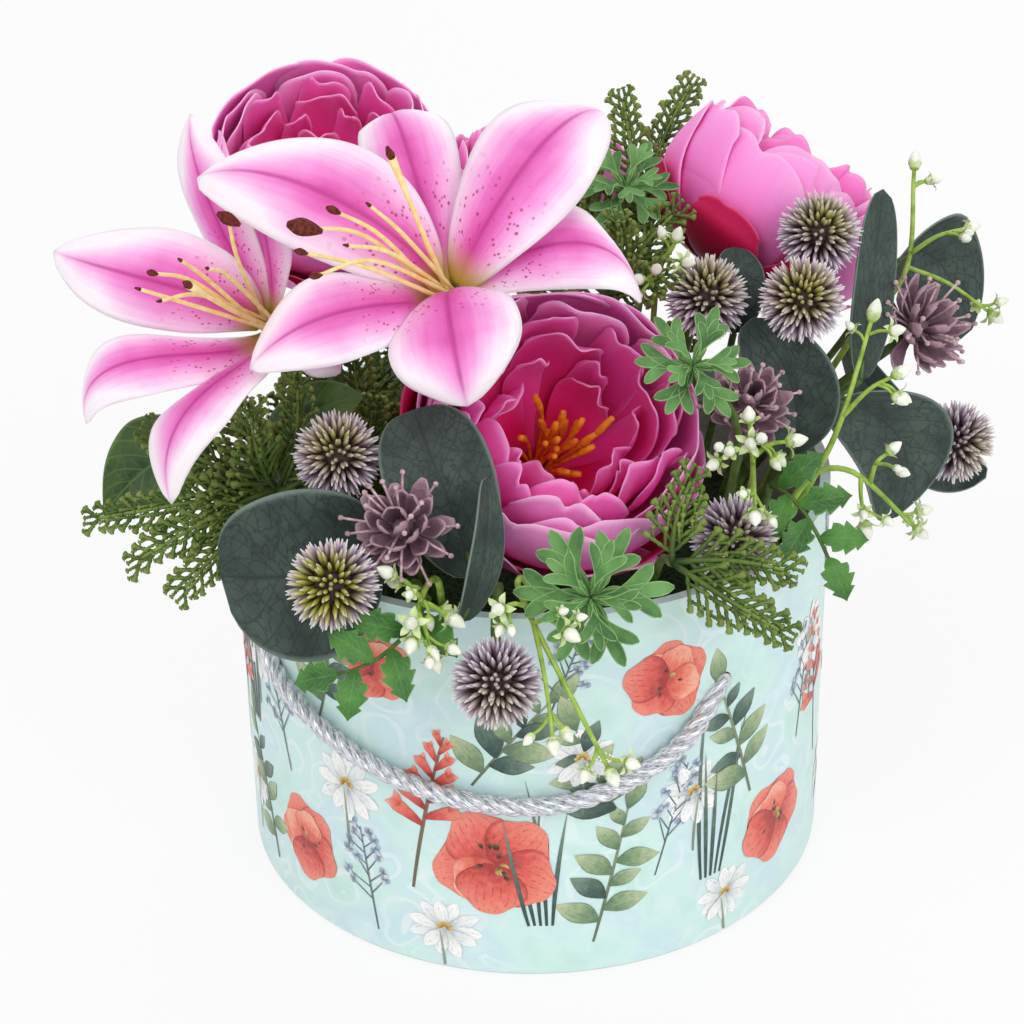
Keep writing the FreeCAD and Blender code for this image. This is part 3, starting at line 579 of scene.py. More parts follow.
def makePrint():
    rng = random.Random(11)
    drawn, counts = {"marks": 0}, printed["counts"]

    def mark(bm, az, z, turn, length, width, outline, finish=0, bend=0, cols=4, rows=8, flare=0):
        drawn["marks"] += 1
        radius = box["radius"] + printed["lift"] + printed["layer"] * (drawn["marks"] % printed["layers"])
        cosine, sine = cos(radians(turn)), sin(radians(turn))

        def move(s, t):
            side = 0.5 * width * eased(printOutlines[outline], t) * s + bend * length * t * t
            reach = length * (t - flare * abs(s) ** 3 * t)
            around = radians(az) * box["radius"] + side * cosine + reach * sine
            height = z + reach * cosine - side * sine
            height = min(max(height, printed["foot"]), box["height"] - printed["rimGap"])
            return polar(degrees(around / box["radius"]), radius, height)
        patch(bm, cols, rows, move, finish)

    def dot(bm, place, turn, length, width, finish):
        mark(bm, *place, turn, length, width, "disc", finish, 0, 2, 4)

    def onLine(az, z, lean, reach, bend=0, length=1):  # a place along a leaning stem
        turn = radians(lean)
        side = bend * length * (reach / length) ** 2
        return (az + degrees((reach * sin(turn) + side * cos(turn)) / box["radius"]),
                z + reach * cos(turn) - side * sin(turn))

    shapes = {name: newShape() for name in printFinishes}
    leaves, slate, coral, white = shapes.values()
    for az, z, height, lean in printed["leafy"]:
        bend = rng.uniform(-0.25, 0.25)
        mark(leaves, az, z, lean, height, 1.1, "stalk", 0, bend, 2, 10)
        for i in range(counts["leaves"]):
            at = onLine(az, z, lean, height * (0.16 + 0.09 * i), bend, height)
            side = 1 if i % 2 else -1
            size = rng.uniform(11, 17) * (1.15 - 0.05 * i)
            turn = lean + side * rng.uniform(36, 70)
            mark(leaves, *at, turn, size, 0.52 * size, "leaf", 1 if rng.random() < 0.7 else 2, side * 0.14)
        mark(leaves, *onLine(az, z, lean, height, bend, height), lean + 10, 14, 7, "leaf", 1)
    for az, z, height, lean in printed["grass"]:
        for i in range(counts["blades"]):
            mark(leaves, az + i * 1.1 - 2, z, lean + 4 * i - 8, height * rng.uniform(0.55, 1), 1.5,
                 "grass", 2, rng.uniform(-0.12, 0.12), 2, 10)
    for az, z, height, lean in printed["slate"]:
        mark(slate, az, z, lean, height, 0.7, "stalk", 0, 0, 2, 8)
        for i in range(counts["twigs"]):
            side = 1 if i % 2 else -1
            twig = rng.uniform(6, 11) * (1.1 - 0.05 * i)
            at = onLine(az, z, lean, height * (0.3 + 0.055 * i))
            turn = lean + side * rng.uniform(28, 60)
            mark(slate, *at, turn, twig, 0.5, "stalk", 0, 0, 2, 4)
            tip = onLine(*at, turn, twig)
            for k in range(counts["florets"]):
                dot(slate, tip, 90 * k + 20 * i, rng.uniform(1.8, 2.8), 2, 1 + (k + i) % 2)
    for az, z, height, lean in printed["spikes"]:
        mark(coral, az, z, lean, height, 1.3, "stalk", 3, 0.06, 2, 10)
        for i in range(counts["trumpets"]):
            side = 1 if i % 2 else -1
            size = 13.5 - 0.75 * i
            at = onLine(az, z, lean, height * (0.42 + 0.052 * i), 0.06, height)
            turn = lean + side * (62 - 4 * i)
            mark(coral, *at, turn, size, 0.42 * size, "trumpet", 0, side * 0.1)
            tip = onLine(*at, turn, 0.72 * size)
            for k in (-1, 1):
                mark(coral, *tip, turn + 34 * k, 0.42 * size, 0.22 * size, "leaf", 1, 0, 2, 5)
    for az, z, size in printed["blossoms"]:
        spin = rng.uniform(0, 360)
        for layer, reach in enumerate((1, 0.8)):
            for i in range(counts["petals"]):
                turn = spin + 36 * layer + 72 * i + rng.uniform(-6, 6)
                mark(coral, az, z, turn, size * reach * rng.uniform(0.92, 1.06), 1.12 * size * reach,
                     "broad", layer, rng.uniform(-0.08, 0.08), 8, 9, 0.16)
        for i in range(counts["anthers"]):
            turn = 137.5 * i
            at = onLine(az, z, turn, size * rng.uniform(0.12, 0.34))
            dot(coral, at, turn, size * 0.13, size * 0.07, 2)
        for i in range(counts["eye"]):
            dot(coral, onLine(az, z, 51.4 * i, 0.05 * size), 51.4 * i, size * 0.16, size * 0.13, 4)
    for az, z, size in printed["daisies"]:
        spin = rng.uniform(0, 40)
        mark(white, az, z - 1.9 * size, 0, 1.8 * size, 0.9, "stalk", 2, rng.uniform(-0.1, 0.1), 2, 6)
        for i in range(counts["rays"]):
            turn = spin + 32.7 * i + rng.uniform(-5, 5)
            mark(white, az, z, turn, size * rng.uniform(0.88, 1.08), 0.42 * size, "narrow", i % 2,
                 rng.uniform(-0.06, 0.06), 4, 7)
        for i in range(counts["disc"]):
            dot(white, onLine(az, z, 40 * i, 0.06 * size), 40 * i, size * 0.18, size * 0.14, 3)
    for name, bm in shapes.items():
        finishPiece(name, bm, [printFinish(*row) for row in printFinishes[name]])


makePrint()
print("print laid")

# two lilies: six petals each, stamens with rusty anthers, a long throat and stem
# each petal: shoulder, bend, tip, width, lift; each stamen: tip and size of anther
lilies = {
    "front_lily": {
        "node": "lily_front", "throat": (-24, -55, 222), "facing": (-0.14, -0.75, 0.64),
        "petals": [((-40, -62, 245), (-67, -60, 261), (-98, -46, 258), 36, 2.2),
                   ((-11, -58, 249), (6, -49, 269), (23, -30, 270), 36, 2.2),
                   ((-24, -76, 230), (-22, -91, 221), (-19, -92, 204), 40, 2.2),
                   ((-31, -46, 246), (-38, -30, 266), (-43, -12, 257), 29, 1.1),
                   ((-3, -57, 236), (18, -60, 240), (33, -60, 222), 27, 1.1),
                   ((-43, -74, 228), (-63, -80, 226), (-83, -77, 210), 28, 1.1)],
        "tips": [(-63, -98, 263, 1.5), (-55, -93, 266, 0.7), (-64, -101, 257, 0.6), (-60, -104, 251, 0.6),
                 (-45, -92, 267, 0), (-51, -104, 260, 0)],
        "pistil": (-39, -74, 274), "tube": 16, "stem": [(-38, -18, 192)], "entry": (-40, -8)},
    "left_lily": {
        "node": "lily_left", "throat": (-79, -39, 205), "facing": (-0.62, -0.63, 0.465),
        "petals": [((-95, -52, 222), (-119, -52, 230), (-145, -36, 231), 33, 2.2),
                   ((-78, -43, 227), (-80, -38, 239), (-86, -22, 246), 16, 2.2),
                   ((-90, -67, 203), (-104, -81, 194), (-109, -82, 168), 30, 2.2),
                   ((-89, -39, 230), (-99, -26, 249), (-104, -5, 263), 22, 1.1),
                   ((-69, -50, 205), (-63, -51, 203), (-59, -45, 193), 18, 1.1),
                   ((-100, -59, 206), (-124, -64, 205), (-136, -61, 185), 23, 1.1)],
        "tips": [(-87, -71, 255, 1.1), (-100, -84, 248, 0), (-108, -86, 245, 0.6), (-112, -88, 241, 0),
                 (-92, -88, 247, 0), (-106, -90, 238, 0)],
        "pistil": (-98, -84, 240), "tube": 22, "stem": [(-62, -20, 178)], "entry": (-62, -14)},
}
lilyShape = {"outline": (0.2, 0.58, 0.9, 1, 0.84, 0.46), "rollBack": 0.3, "groove": 0.07, "wave": 0.07,
             "dish": 0.12, "thickness": 0.5, "grid": (18, 34), "filament": (0.78, 0.68, 0.52),
             "seat": 4, "bow": (4.5, 3.5), "swing": 3, "bareTip": (0.62, 0.3), "antherLength": 6.5,
             "anther": (0.5, 1.5, 1.75, 0.6), "lumps": (-0.55, -0.2, 0.15, 0.5), "pistilBow": 3,
             "pistil": (1.05, 0.9, 0.75, 1.3), "stigma": (1, 1.3, 0.5), "stigmaPlaces": (-1, 1.5, 4),
             "throat": (5, 4.5, 3.9, 3, 2.2), "stemLead": 4, "stem": 2.2}


def lilyFinish():
    newFinish("lilyPetal", 0.5, 0.3, Subsurface_Weight=0.25, Subsurface_Radius=(1, 0.6, 0.8),
              Subsurface_Scale=2 * mm)
    u, v = uvAxes()
    side = fromMiddle(u)
    streaks = grain(stretched(24, 2.6), 1, 4)
    pale = plus(side, sway(streaks, 0.26))
    pale = plus(pale, sway(grain(objectSpace(), 70), 0.42))
    pale = plus(pale, ramp(v, (0.6, 0), (1, 0.8)))
    tone = ramp(pale, (0.02, (208, 76, 162)), (0.26, (228, 112, 190)), (0.54, (243, 164, 219)),
                (0.82, (251, 214, 240)), (1, (253, 238, 249)))
    line = times(ramp(side, (0, 0.75), (0.07, 0)),
                 ramp(v, (0.1, 0), (0.3, 1), (0.8, 1), (0.97, 0)))
    tone = blend(line, tone, paint(176, 52, 132))
    dots = cells(stretched(15, 34), 1, Randomness=0.9)
    along = ramp(v, (0.14, 0), (0.2, 0.9), (0.4, 0.8), (0.52, 0))
    across = ramp(side, (0.08, 0), (0.16, 1), (0.66, 1), (0.85, 0))
    freckles = times(ramp(dots, (0.2, 1), (0.3, 0)), times(along, across))
    tone = blend(freckles, tone, paint(164, 38, 92))
    tone = blend(ramp(v, (0.05, 0.95), (0.2, 0)), tone, paint(196, 178, 66))
    return coat(tone, streaks, 0.22)


stemGreen = plainFinish("stemGreen", (58, 84, 36), (98, 124, 58), 260)
filamentYellow = plainFinish("filamentYellow", (242, 210, 124), (254, 238, 178), 300, 0.5, 0.15)
antherBrown = plainFinish("antherBrown", (62, 18, 14), (124, 52, 36), 900, 0.9, 0.9)
lilyPetal = lilyFinish()


def makeLily(name, lily):
    node = lily["node"]
    throat, facing = vec(lily["throat"]), Vector(lily["facing"]).normalized()
    petals, inside, stalk = newShape(), newShape(), newShape()
    for number, (shoulder, bend, tip, width, lift) in enumerate(lily["petals"]):
        reach = vec(bend) - throat
        radial = (reach - facing * reach.dot(facing)).normalized()
        seat = throat + radial * (lilyShape["seat"] * mm) + facing * (lift * mm)

        def half(t):
            rounded = sqrt(max(0, 1 - t ** 8))
            return 0.5 * width * mm * max(eased(lilyShape["outline"], t) * rounded, 0.02)

        def rise(s, t, w):
            back = lilyShape["rollBack"] * abs(s) ** 2.2
            groove = lilyShape["groove"] * exp(-(s / 0.13) ** 2) * (1 - t) ** 0.5
            wave = lilyShape["wave"] * abs(s) ** 3 * sin(11 * t + 2.1 * number + (2 if s > 0 else 0))
            return w * (back + groove + wave * min(1, 3 * t) - lilyShape["dish"])
        blade(petals, [seat, *vecs((shoulder, bend, tip))], facing.cross(radial), half, rise,
              *lilyShape["grid"])
    finishPiece(name + "_petals", petals, [lilyPetal],
                [node + "_petals_inner", node + "_petals_outer"], thickness=lilyShape["thickness"])
    ahead, up = lilyShape["bow"]
    for number, (*tip, anther) in enumerate(lily["tips"]):
        tip = vec(tip)
        root = aroundAxis(throat, facing, number * tau / len(lily["tips"]), 2.2 * mm, 0.5 * mm)
        swing = (tip - root).cross(facing).normalized()
        swing *= lilyShape["swing"] * sin(2.3 * number + 0.8) * mm
        bow = root.lerp(tip, 0.55) + facing * (ahead * mm) + skyward * (up * mm) + swing
        run = smoothRun([root, bow, tip], 14)
        tube(inside, run, lilyShape["filament"], 7)
        along = (run[-1] - run[-2]).normalized()
        if anther:
            across = along.cross(Vector((0.2, 0.3, 1))).normalized()
            lean = (across * 0.35 + along if anther < 1 else across * 0.9 + along * 0.5).normalized()
            size = lilyShape["antherLength"] * anther * mm
            lumps = [tip + lean * (size * f) for f in lilyShape["lumps"]]
            tube(inside, smoothRun(lumps, 8), lilyShape["anther"], 7, 1, anther * mm)
        else:
            tube(inside, [tip - along * (0.5 * mm), tip + along * (1.6 * mm)], lilyShape["bareTip"], 7, 1)
    root, end = throat + facing * (0.5 * mm), vec(lily["pistil"])
    run = smoothRun([root, root.lerp(end, 0.5) + facing * (lilyShape["pistilBow"] * mm), end], 14)
    tube(inside, run, lilyShape["pistil"])
    along = (run[-1] - run[-2]).normalized()
    tube(inside, [end + along * (f * mm) for f in lilyShape["stigmaPlaces"]], lilyShape["stigma"], 8, 1)
    finishPiece(name + "_stamens", inside, [filamentYellow, antherBrown],
                [node + "_stamens", node + "_pistil"])
    neck = throat - facing * (lily["tube"] * mm)
    tube(stalk, [throat.lerp(neck, f) for f in (0, 0.25, 0.5, 0.75, 1)], lilyShape["throat"], 12)
    plant(stalk, [neck, neck - facing * (lilyShape["stemLead"] * mm)], lily["stem"], lily["entry"],
          [lilyShape["stem"]], 9, 0, 22)
    finishPiece(name + "_stem", stalk, [stemGreen], [node + "_stem"])


for name, lily in lilies.items():
    makeLily(name, lily)
print("lilies ready")

# four peonies: rings of cupped petals, smooth outside and ruffled inside, round orange stamens
peonies = {
    "front_peony": {"node": "peony_front", "centre": (9, -42, 168), "facing": (0.28, -0.6, 0.75),
                    "radius": 44, "stem": [], "entry": (-3, -2), "turn": 62, "rings": "open", "seed": 3},
    "back_left_peony": {"node": "peony_back_left", "centre": (-68, 73, 212), "facing": (0.1, -0.5, 0.86),
                        "radius": 40, "stem": [(-56, 64, 152)], "entry": (-48, 56), "turn": 20,
                        "rings": "open", "seed": 5},
    "back_right_peony": {"node": "peony_back_right", "centre": (84, 60, 202), "facing": (0.62, 0.28, 0.73),
                         "radius": 40, "stem": [], "entry": (44, 40), "turn": 52, "rings": "full",
                         "seed": 8},
    "back_peony": {"node": "peony_back", "centre": (5, 99, 195), "facing": (0.05, 0.1, 0.99), "radius": 34,
                   "stem": [], "entry": (6, 62), "turn": 0, "rings": "full", "seed": 13},
}
# each ring: petals, half angle, way out and up from base to edge as shares of the radius, ruffle, finish
peonyRings = {
    "open": [
        (7, 25, (0.12, 0.6, 0.97, 1.03, 1.07), (-0.72, -0.65, -0.4, -0.18, -0.04), 0.01, 2),
        (6, 29, (0.12, 0.6, 0.98, 1.05, 1.08), (-0.7, -0.62, -0.3, -0.06, 0.1), 0.014, 0),
        (5, 46, (0.12, 0.58, 0.95, 0.98, 0.86), (-0.69, -0.59, -0.18, 0.24, 0.52), 0.01, 0),
        (5, 44, (0.12, 0.55, 0.89, 0.92, 0.8), (-0.66, -0.55, -0.14, 0.28, 0.58), 0.014, 0),
        (6, 33, (0.11, 0.49, 0.79, 0.83, 0.74), (-0.62, -0.5, -0.12, 0.26, 0.58), 0.024, 0),
        (8, 22, (0.11, 0.45, 0.71, 0.74, 0.62), (-0.61, -0.49, -0.12, 0.26, 0.54), 0.022, 3),
        (6, 32, (0.1, 0.42, 0.66, 0.67, 0.52), (-0.6, -0.48, -0.14, 0.18, 0.42), 0.03, 1),
        (7, 17, (0.09, 0.36, 0.55, 0.54, 0.42), (-0.58, -0.46, -0.18, 0.1, 0.32), 0.02, 3),
        (4, 30, (0.08, 0.31, 0.46, 0.44, 0.32), (-0.57, -0.46, -0.22, 0, 0.16), 0.03, 1)],
    "full": [
        (7, 24, (0.12, 0.6, 0.95, 1.02, 1.06), (-0.72, -0.66, -0.46, -0.32, -0.2), 0.01, 2),
        (5, 47, (0.12, 0.58, 0.97, 1, 0.92), (-0.7, -0.62, -0.24, 0.16, 0.44), 0.008, 4),
        (5, 47, (0.12, 0.56, 0.92, 0.94, 0.8), (-0.68, -0.58, -0.18, 0.26, 0.58), 0.01, 4),
        (6, 38, (0.11, 0.5, 0.82, 0.84, 0.7), (-0.64, -0.53, -0.13, 0.3, 0.62), 0.022, 0),
        (8, 31, (0.1, 0.44, 0.7, 0.74, 0.64), (-0.6, -0.48, -0.12, 0.3, 0.66), 0.05, 3),
        (8, 32, (0.1, 0.36, 0.57, 0.6, 0.52), (-0.58, -0.46, -0.14, 0.28, 0.66), 0.06, 3),
        (7, 34, (0.08, 0.28, 0.43, 0.45, 0.38), (-0.56, -0.44, -0.16, 0.24, 0.62), 0.065, 3),
        (5, 40, (0.05, 0.18, 0.27, 0.28, 0.22), (-0.54, -0.42, -0.14, 0.22, 0.56), 0.065, 1)],
}
peonyShape = {"outerRings": 4, "thickness": 0.45, "grid": (22, 14), "curl": 0.022, "skew": 0.035,
              "stamens": 20, "stamen": (0.62, 0.56, 0.56, 0.6, 1.3, 0.9), "heart": 0.56, "seat": 0.7,
              "calyx": (3.8, 6.2, 5.2, 2.4), "calyxDepth": 6, "stemLead": 8, "stem": 2.4}


def peonyFinish(name, stops, vein, rimHighlight):
    newFinish(name, 0.55, 0.28, Subsurface_Weight=0.2, Subsurface_Radius=(1, 0.45, 0.7),
              Subsurface_Scale=2 * mm)
    u, v = uvAxes()
    streaks = grain(stretched(30, 2), 1)
    reach = plus(v, sway(streaks, 0.16))
    reach = plus(reach, sway(grain(objectSpace(), 60, 2), 0.22))
    tone = blend(ramp(streaks, (0.56, 0), (0.75, 0.22)), ramp(reach, *stops), paint(*vein))
    # a pale line along the upper petal edges: painted highlight on the rims
    edge = larger(ramp(v, (0.965, 0), (0.99, 0.4)),
                  ramp(fromMiddle(u), (0.965, 0), (0.99, 0.35)))
    tone = blend(times(edge, ramp(v, (0.3, 0), (0.6, 1))), tone, paint(*rimHighlight))
    return coat(tone, streaks, 0.16)


peonyFinishes = [
    peonyFinish("peonyPink", ((0.05, (224, 16, 108)), (0.3, (248, 66, 160)), (0.58, (252, 110, 198)),
                              (0.84, (254, 144, 216)), (1, (255, 170, 226))),
                (242, 82, 174), (255, 214, 240)),
    peonyFinish("peonyHeart", ((0.05, (176, 0, 52)), (0.28, (228, 16, 98)), (0.52, (250, 62, 158)),
                               (0.8, (253, 108, 194)), (1, (255, 148, 216))),
                (220, 22, 108), (255, 188, 228)),
    peonyFinish("sepalRed", ((0.05, (134, 6, 40)), (0.5, (190, 14, 72)), (1, (218, 38, 102))),
                (150, 8, 54), (234, 120, 164)),
    peonyFinish("peonyCrown", ((0.05, (228, 14, 110)), (0.4, (250, 58, 160)), (0.72, (253, 100, 192)),
                               (1, (254, 138, 212))),
                (236, 46, 148), (255, 190, 230)),
    peonyFinish("guardPink", ((0.05, (228, 18, 108)), (0.28, (250, 76, 170)), (0.52, (254, 122, 206)),
                              (0.8, (255, 148, 220)), (1, (255, 166, 226))),
                (248, 92, 182), (255, 208, 238))]
stamenOrange = plainFinish("stamenOrange", (206, 92, 6), (250, 162, 40), 400, 0.5, 0.3)


def cupPetal(bm, centre, facing, radius, turn, ring, rng):
    half, outs, ups, ruffle, finish = ring
    phase, beats, depth = rng.uniform(0, 6.28), rng.uniform(2.6, 4.6), rng.uniform(0.16, 0.26)
    tilt, swell, slant = rng.uniform(-0.02, 0.03), rng.uniform(0.98, 1.03), rng.uniform(-0.05, 0.05)
    notch, cut = rng.uniform(-0.5, 0.5), rng.choice((0, 0.03, 0.07))
    tall = rng.uniform(0.9, 1)

    def move(s, t):
        edge = tall - depth * abs(s) ** 3 + slant * s - cut * exp(-((s - notch) / 0.16) ** 2)
        reach = t * edge
        wave = sin(beats * s + phase) + 0.4 * sin(1.8 * beats * s + 2 * phase)
        fringe = ruffle * t ** 2.5 * wave
        curl = peonyShape["curl"] * max(0, (t - 0.86) / 0.14) ** 2
        out = eased(outs, reach) * swell + fringe + peonyShape["skew"] * s * t + tilt * t + curl
        up = eased(ups, reach) + 0.6 * fringe
        spread = radians(half) * (0.75 + 0.25 * sin(pi * min(1, t * 1.1)))
        return aroundAxis(centre, facing, turn + s * spread, radius * out, radius * up)
    patch(bm, *peonyShape["grid"], move, finish)


def makePeony(name, peony):
    rng = random.Random(peony["seed"])
    centre, facing = vec(peony["centre"]), Vector(peony["facing"]).normalized()
    radius, node = peony["radius"] * mm, peony["node"]
    outer, inner, stamens, stalk = newShape(), newShape(), newShape(), newShape()
    for number, (count, *ring) in enumerate(peonyRings[peony["rings"]]):
        bm = outer if number < peonyShape["outerRings"] else inner
        for i in range(count):
            turn = radians(peony["turn"] + 31 * number + 360 / count * i + rng.uniform(-5, 5))
            cupPetal(bm, centre, facing, radius, turn, ring, rng)
    for part, bm in (("outer", outer), ("inner", inner)):
        finishPiece(name + "_" + part + "_petals", bm, peonyFinishes,
                    [node + "_petals_" + part], thickness=peonyShape["thickness"])
    heart = centre - facing * (peonyShape["heart"] * radius)
    for i in range(peonyShape["stamens"]):
        angle = 2.4 * i
        lean, high = rng.uniform(0.06, 0.36) * radius, rng.uniform(0.42, 0.8) * radius
        foot = aroundAxis(heart, facing, angle, 0.05 * radius, 0)
        middle = aroundAxis(heart, facing, angle, 0.6 * lean, 0.6 * high)
        tip = aroundAxis(heart, facing, angle + 0.3, lean, high)
        tube(stamens, smoothRun([foot, middle, tip], 10), peonyShape["stamen"], 7)
    finishPiece(name + "_stamens", stamens, [stamenOrange], [node + "_stamens"])
    seat = centre - facing * (peonyShape["seat"] * radius)
    cap = seat - facing * (peonyShape["calyxDepth"] * mm)
    tube(stalk, [seat + facing * (5 * mm), seat, seat.lerp(cap, 0.5), cap], peonyShape["calyx"], 12)
    plant(stalk, [cap, cap - facing * (peonyShape["stemLead"] * mm)], peony["stem"], peony["entry"],
          [peonyShape["stem"]], 9, 0, 22)
    finishPiece(name + "_stem", stalk, [stemGreen], [node + "_stem"])


for name, peony in peonies.items():
    makePeony(name, peony)
print("peonies ready")

# globe thistles: balls of mauve florets with painted highlights on their tips; each head: place, stem,
# entry, how green its front is
thistles = {"core": 7, "reach": 14, "florets": 300, "sunk": 0.6, "stem": 1.5,
            "floret": ((0, 0.62, 0.42, 0.74), (0.62, 1, 0.74, 0.14)), "heads": [
    ((-59, -72, 178), [], (-50, -46), 0.5), ((-59, -117, 159), [(-48, -88, 146)], (-52, -62), 1),
    ((-12, -129, 132), [(-12, -112, 143), (-11, -94, 144)], (-10, -72), 0.25),
    ((61, -80, 151), [(54, -62, 144)], (52, -62), 0.2), ((57, -9, 200), [], (46, -10), 0.45),
    ((86, -21, 204), [(89, -2, 172)], (62, -4), 0.6), ((94, 6, 215), [], (64, 12), 0.5),
    ((143, 5, 139), [(124, 5, 150), (92, 4, 147)], (76, 2), 0.3)]}


def thistleFinish():
    newFinish("thistleFloret", 0.6, 0.3)
    u, v = uvAxes()
    # the near-white ends of both ramps at the floret tips are painted highlights; mauve and olive are the
    # florets' own colours
    mauveAndTipHighlight = ramp(v, (0.25, (74, 52, 58)), (0.5, (132, 104, 130)), (0.72, (192, 174, 196)),
                 (0.92, (236, 230, 238)))
    oliveAndTipHighlight = ramp(v, (0.2, (64, 64, 14)), (0.5, (134, 134, 34)), (0.78, (184, 178, 92)),
                 (1, (230, 222, 206)))
    return coat(blend(u, mauveAndTipHighlight, oliveAndTipHighlight))


thistleFloret = thistleFinish()


def makeThistles():
    core, count, sunk = thistles["core"], thistles["florets"], thistles["sunk"]
    for number, (head, stem, entry, green) in enumerate(thistles["heads"], 1):
        rng = random.Random(100 + number)
        centre = vec(head)
        below = vec(stem[0]) if stem else vec((*entry, stemShape["foamTop"] + stemShape["knee"]))
        pole = (centre - below).normalized()
        front = (pole + Vector((0, -0.9, 0.5))).normalized()
        bm = newShape()
        uv = bm.loops.layers.uv.active
        ball(bm, centre, core, 2)
        for i in range(count):
            high, turn = 1 - 2 * (i + 0.5) / count, goldenTurn * i
            flat = sqrt(1 - high * high)
            way = Vector((flat * cos(turn), flat * sin(turn), high))
            way = (way + Vector([rng.uniform(-0.09, 0.09) for k in range(3)])).normalized()
            facing = max(0, way.dot(front))
            reach = (thistles["reach"] - core) * rng.uniform(0.88, 1.06) * (1 - 0.28 * facing ** 6)
            reach = (reach + sunk) * mm
            foot = centre + way * ((core - sunk) * mm)
            made = []
            for low, top, wide, narrow in thistles["floret"]:
                made += bmesh.ops.create_cone(
                    bm, segments=5, radius1=wide * mm, radius2=narrow * mm, depth=(top - low) * reach,
                    matrix=aimed(foot + way * (0.5 * (low + top) * reach), way, (1, 1, 1), i))["verts"]
            bmesh.ops.remove_doubles(bm, verts=made, dist=1e-6)
            tint = min(1, green * facing ** 1.5 * 1.6 + 0.1 * rng.random())
            for vert in made:
                if vert.is_valid:
                    for loop in vert.link_loops:
                        loop[uv].uv = (tint, (vert.co - foot).length / reach)
        plant(bm, [centre - pole * (core * mm)], stem, entry, [thistles["stem"]], 8, 1)
        finishPiece("globe_thistle_%d" % number, bm, [thistleFloret, stemGreen],
                    ["thistle_%d" % number])


makeThistles()
print("thistles ready")

# stonecrops: spoon petals and ball-tipped rods; each head: place, facing, reach, stem, entry
stonecrops = [((-39, -100, 168), (-0.2, -0.7, 0.7), 16, [], (-30, -58)),
              ((68, -41, 177), (0.1, -0.6, 0.8), 15, [], (60, -28)),
              ((127, 5, 181), (0.6, -0.5, 0.6), 18, [(94, 6, 152)], (70, 22))]
stonecropShape = {"core": 4.6, "rings": ((18, 4), (48, 8), (78, 10), (104, 8)), "curl": 0.22,
                  "petalFoot": 3.5, "outline": (0.45, 0.6, 0.9, 1, 0.35), "thickness": 0.6, "rods": 20,
                  "rod": 0.42, "rodFoot": 3, "rodBall": 0.95, "stem": 1.6, "collar": 4, "grid": (4, 7)}


def mauveFinish():
    newFinish("duskyMauve", 0.5, 0.4)
    u, v = uvAxes()
    cloud = grain(objectSpace(), 300)
    tone = ramp(plus(v, times(cloud, 0.4)), (0.15, (62, 40, 52)), (0.6, (112, 82, 98)),
                (0.95, (142, 110, 126)), (0.951, (168, 136, 150)))
    # paler petal edges: painted highlight on the rims
    rimHighlight = ramp(fromMiddle(u), (0.8, 0), (1, 0.45))
    return coat(blend(rimHighlight, tone, paint(176, 148, 160)), cloud)


duskyMauve = mauveFinish()
mauveTip = plainFinish("mauveTip", (150, 112, 124), (222, 194, 198), 500, 0.45, 0.2)


def makeStonecrops():
    origin = Vector((0, 0, 0))
    for number, (head, facing, reach, stem, entry) in enumerate(stonecrops, 1):
        rng = random.Random(40 + number)
        centre, facing = vec(head), Vector(facing).normalized()
        bm, rods = newShape(), newShape()
        ball(bm, centre, stonecropShape["core"], 2)
        for tilt, count in stonecropShape["rings"]:
            for i in range(count):
                turn = tau * (i + rng.uniform(-0.2, 0.2)) / count + tilt
                lean = radians(tilt + rng.uniform(-8, 8))
                way = aroundAxis(origin, facing, turn, sin(lean), cos(lean))
                size = reach * rng.uniform(0.78, 1) * mm
                curl = (facing - way * facing.dot(way)) * (stonecropShape["curl"] * size)
                points = [centre + way * (stonecropShape["petalFoot"] * mm), centre + way * (0.6 * size),
                          centre + way * size + curl]
                width = rng.uniform(4.6, 6.2)
                blade(bm, points, way.cross(facing).normalized(),
                      lambda t: 0.5 * width * mm * max(0.04, eased(stonecropShape["outline"], t)),
                      lambda s, t, w: -0.5 * w * (1 - s * s), *stonecropShape["grid"])
        for i in range(stonecropShape["rods"]):
            lean = radians(rng.uniform(20, 100))
            way = aroundAxis(origin, facing, goldenTurn * i, sin(lean), cos(lean))
            size = reach * rng.uniform(0.95, 1.22) * mm
            tip = centre + way * size
            middle = centre + way * (0.55 * size) + facing * (0.4 * mm)
            foot = centre + way * (stonecropShape["rodFoot"] * mm)
            tube(rods, [foot, middle, tip], [stonecropShape["rod"]], 5)
            ball(rods, tip, stonecropShape["rodBall"], 1)
        below = vec(stem[0]) if stem else vec((*entry, stemShape["foamTop"]))
        collar = centre + (below - centre).normalized() * (stonecropShape["collar"] * mm)
        plant(rods, [collar], stem, entry, [stonecropShape["stem"]], 8, 1)
        finishPiece("stonecrop_head_%d" % number, bm, [duskyMauve],
                    ["stonecrop_%d" % number], thickness=stonecropShape["thickness"])
        finishPiece("stonecrop_rods_%d" % number, rods, [mauveTip, stemGreen])


makeStonecrops()
print("stonecrops ready")

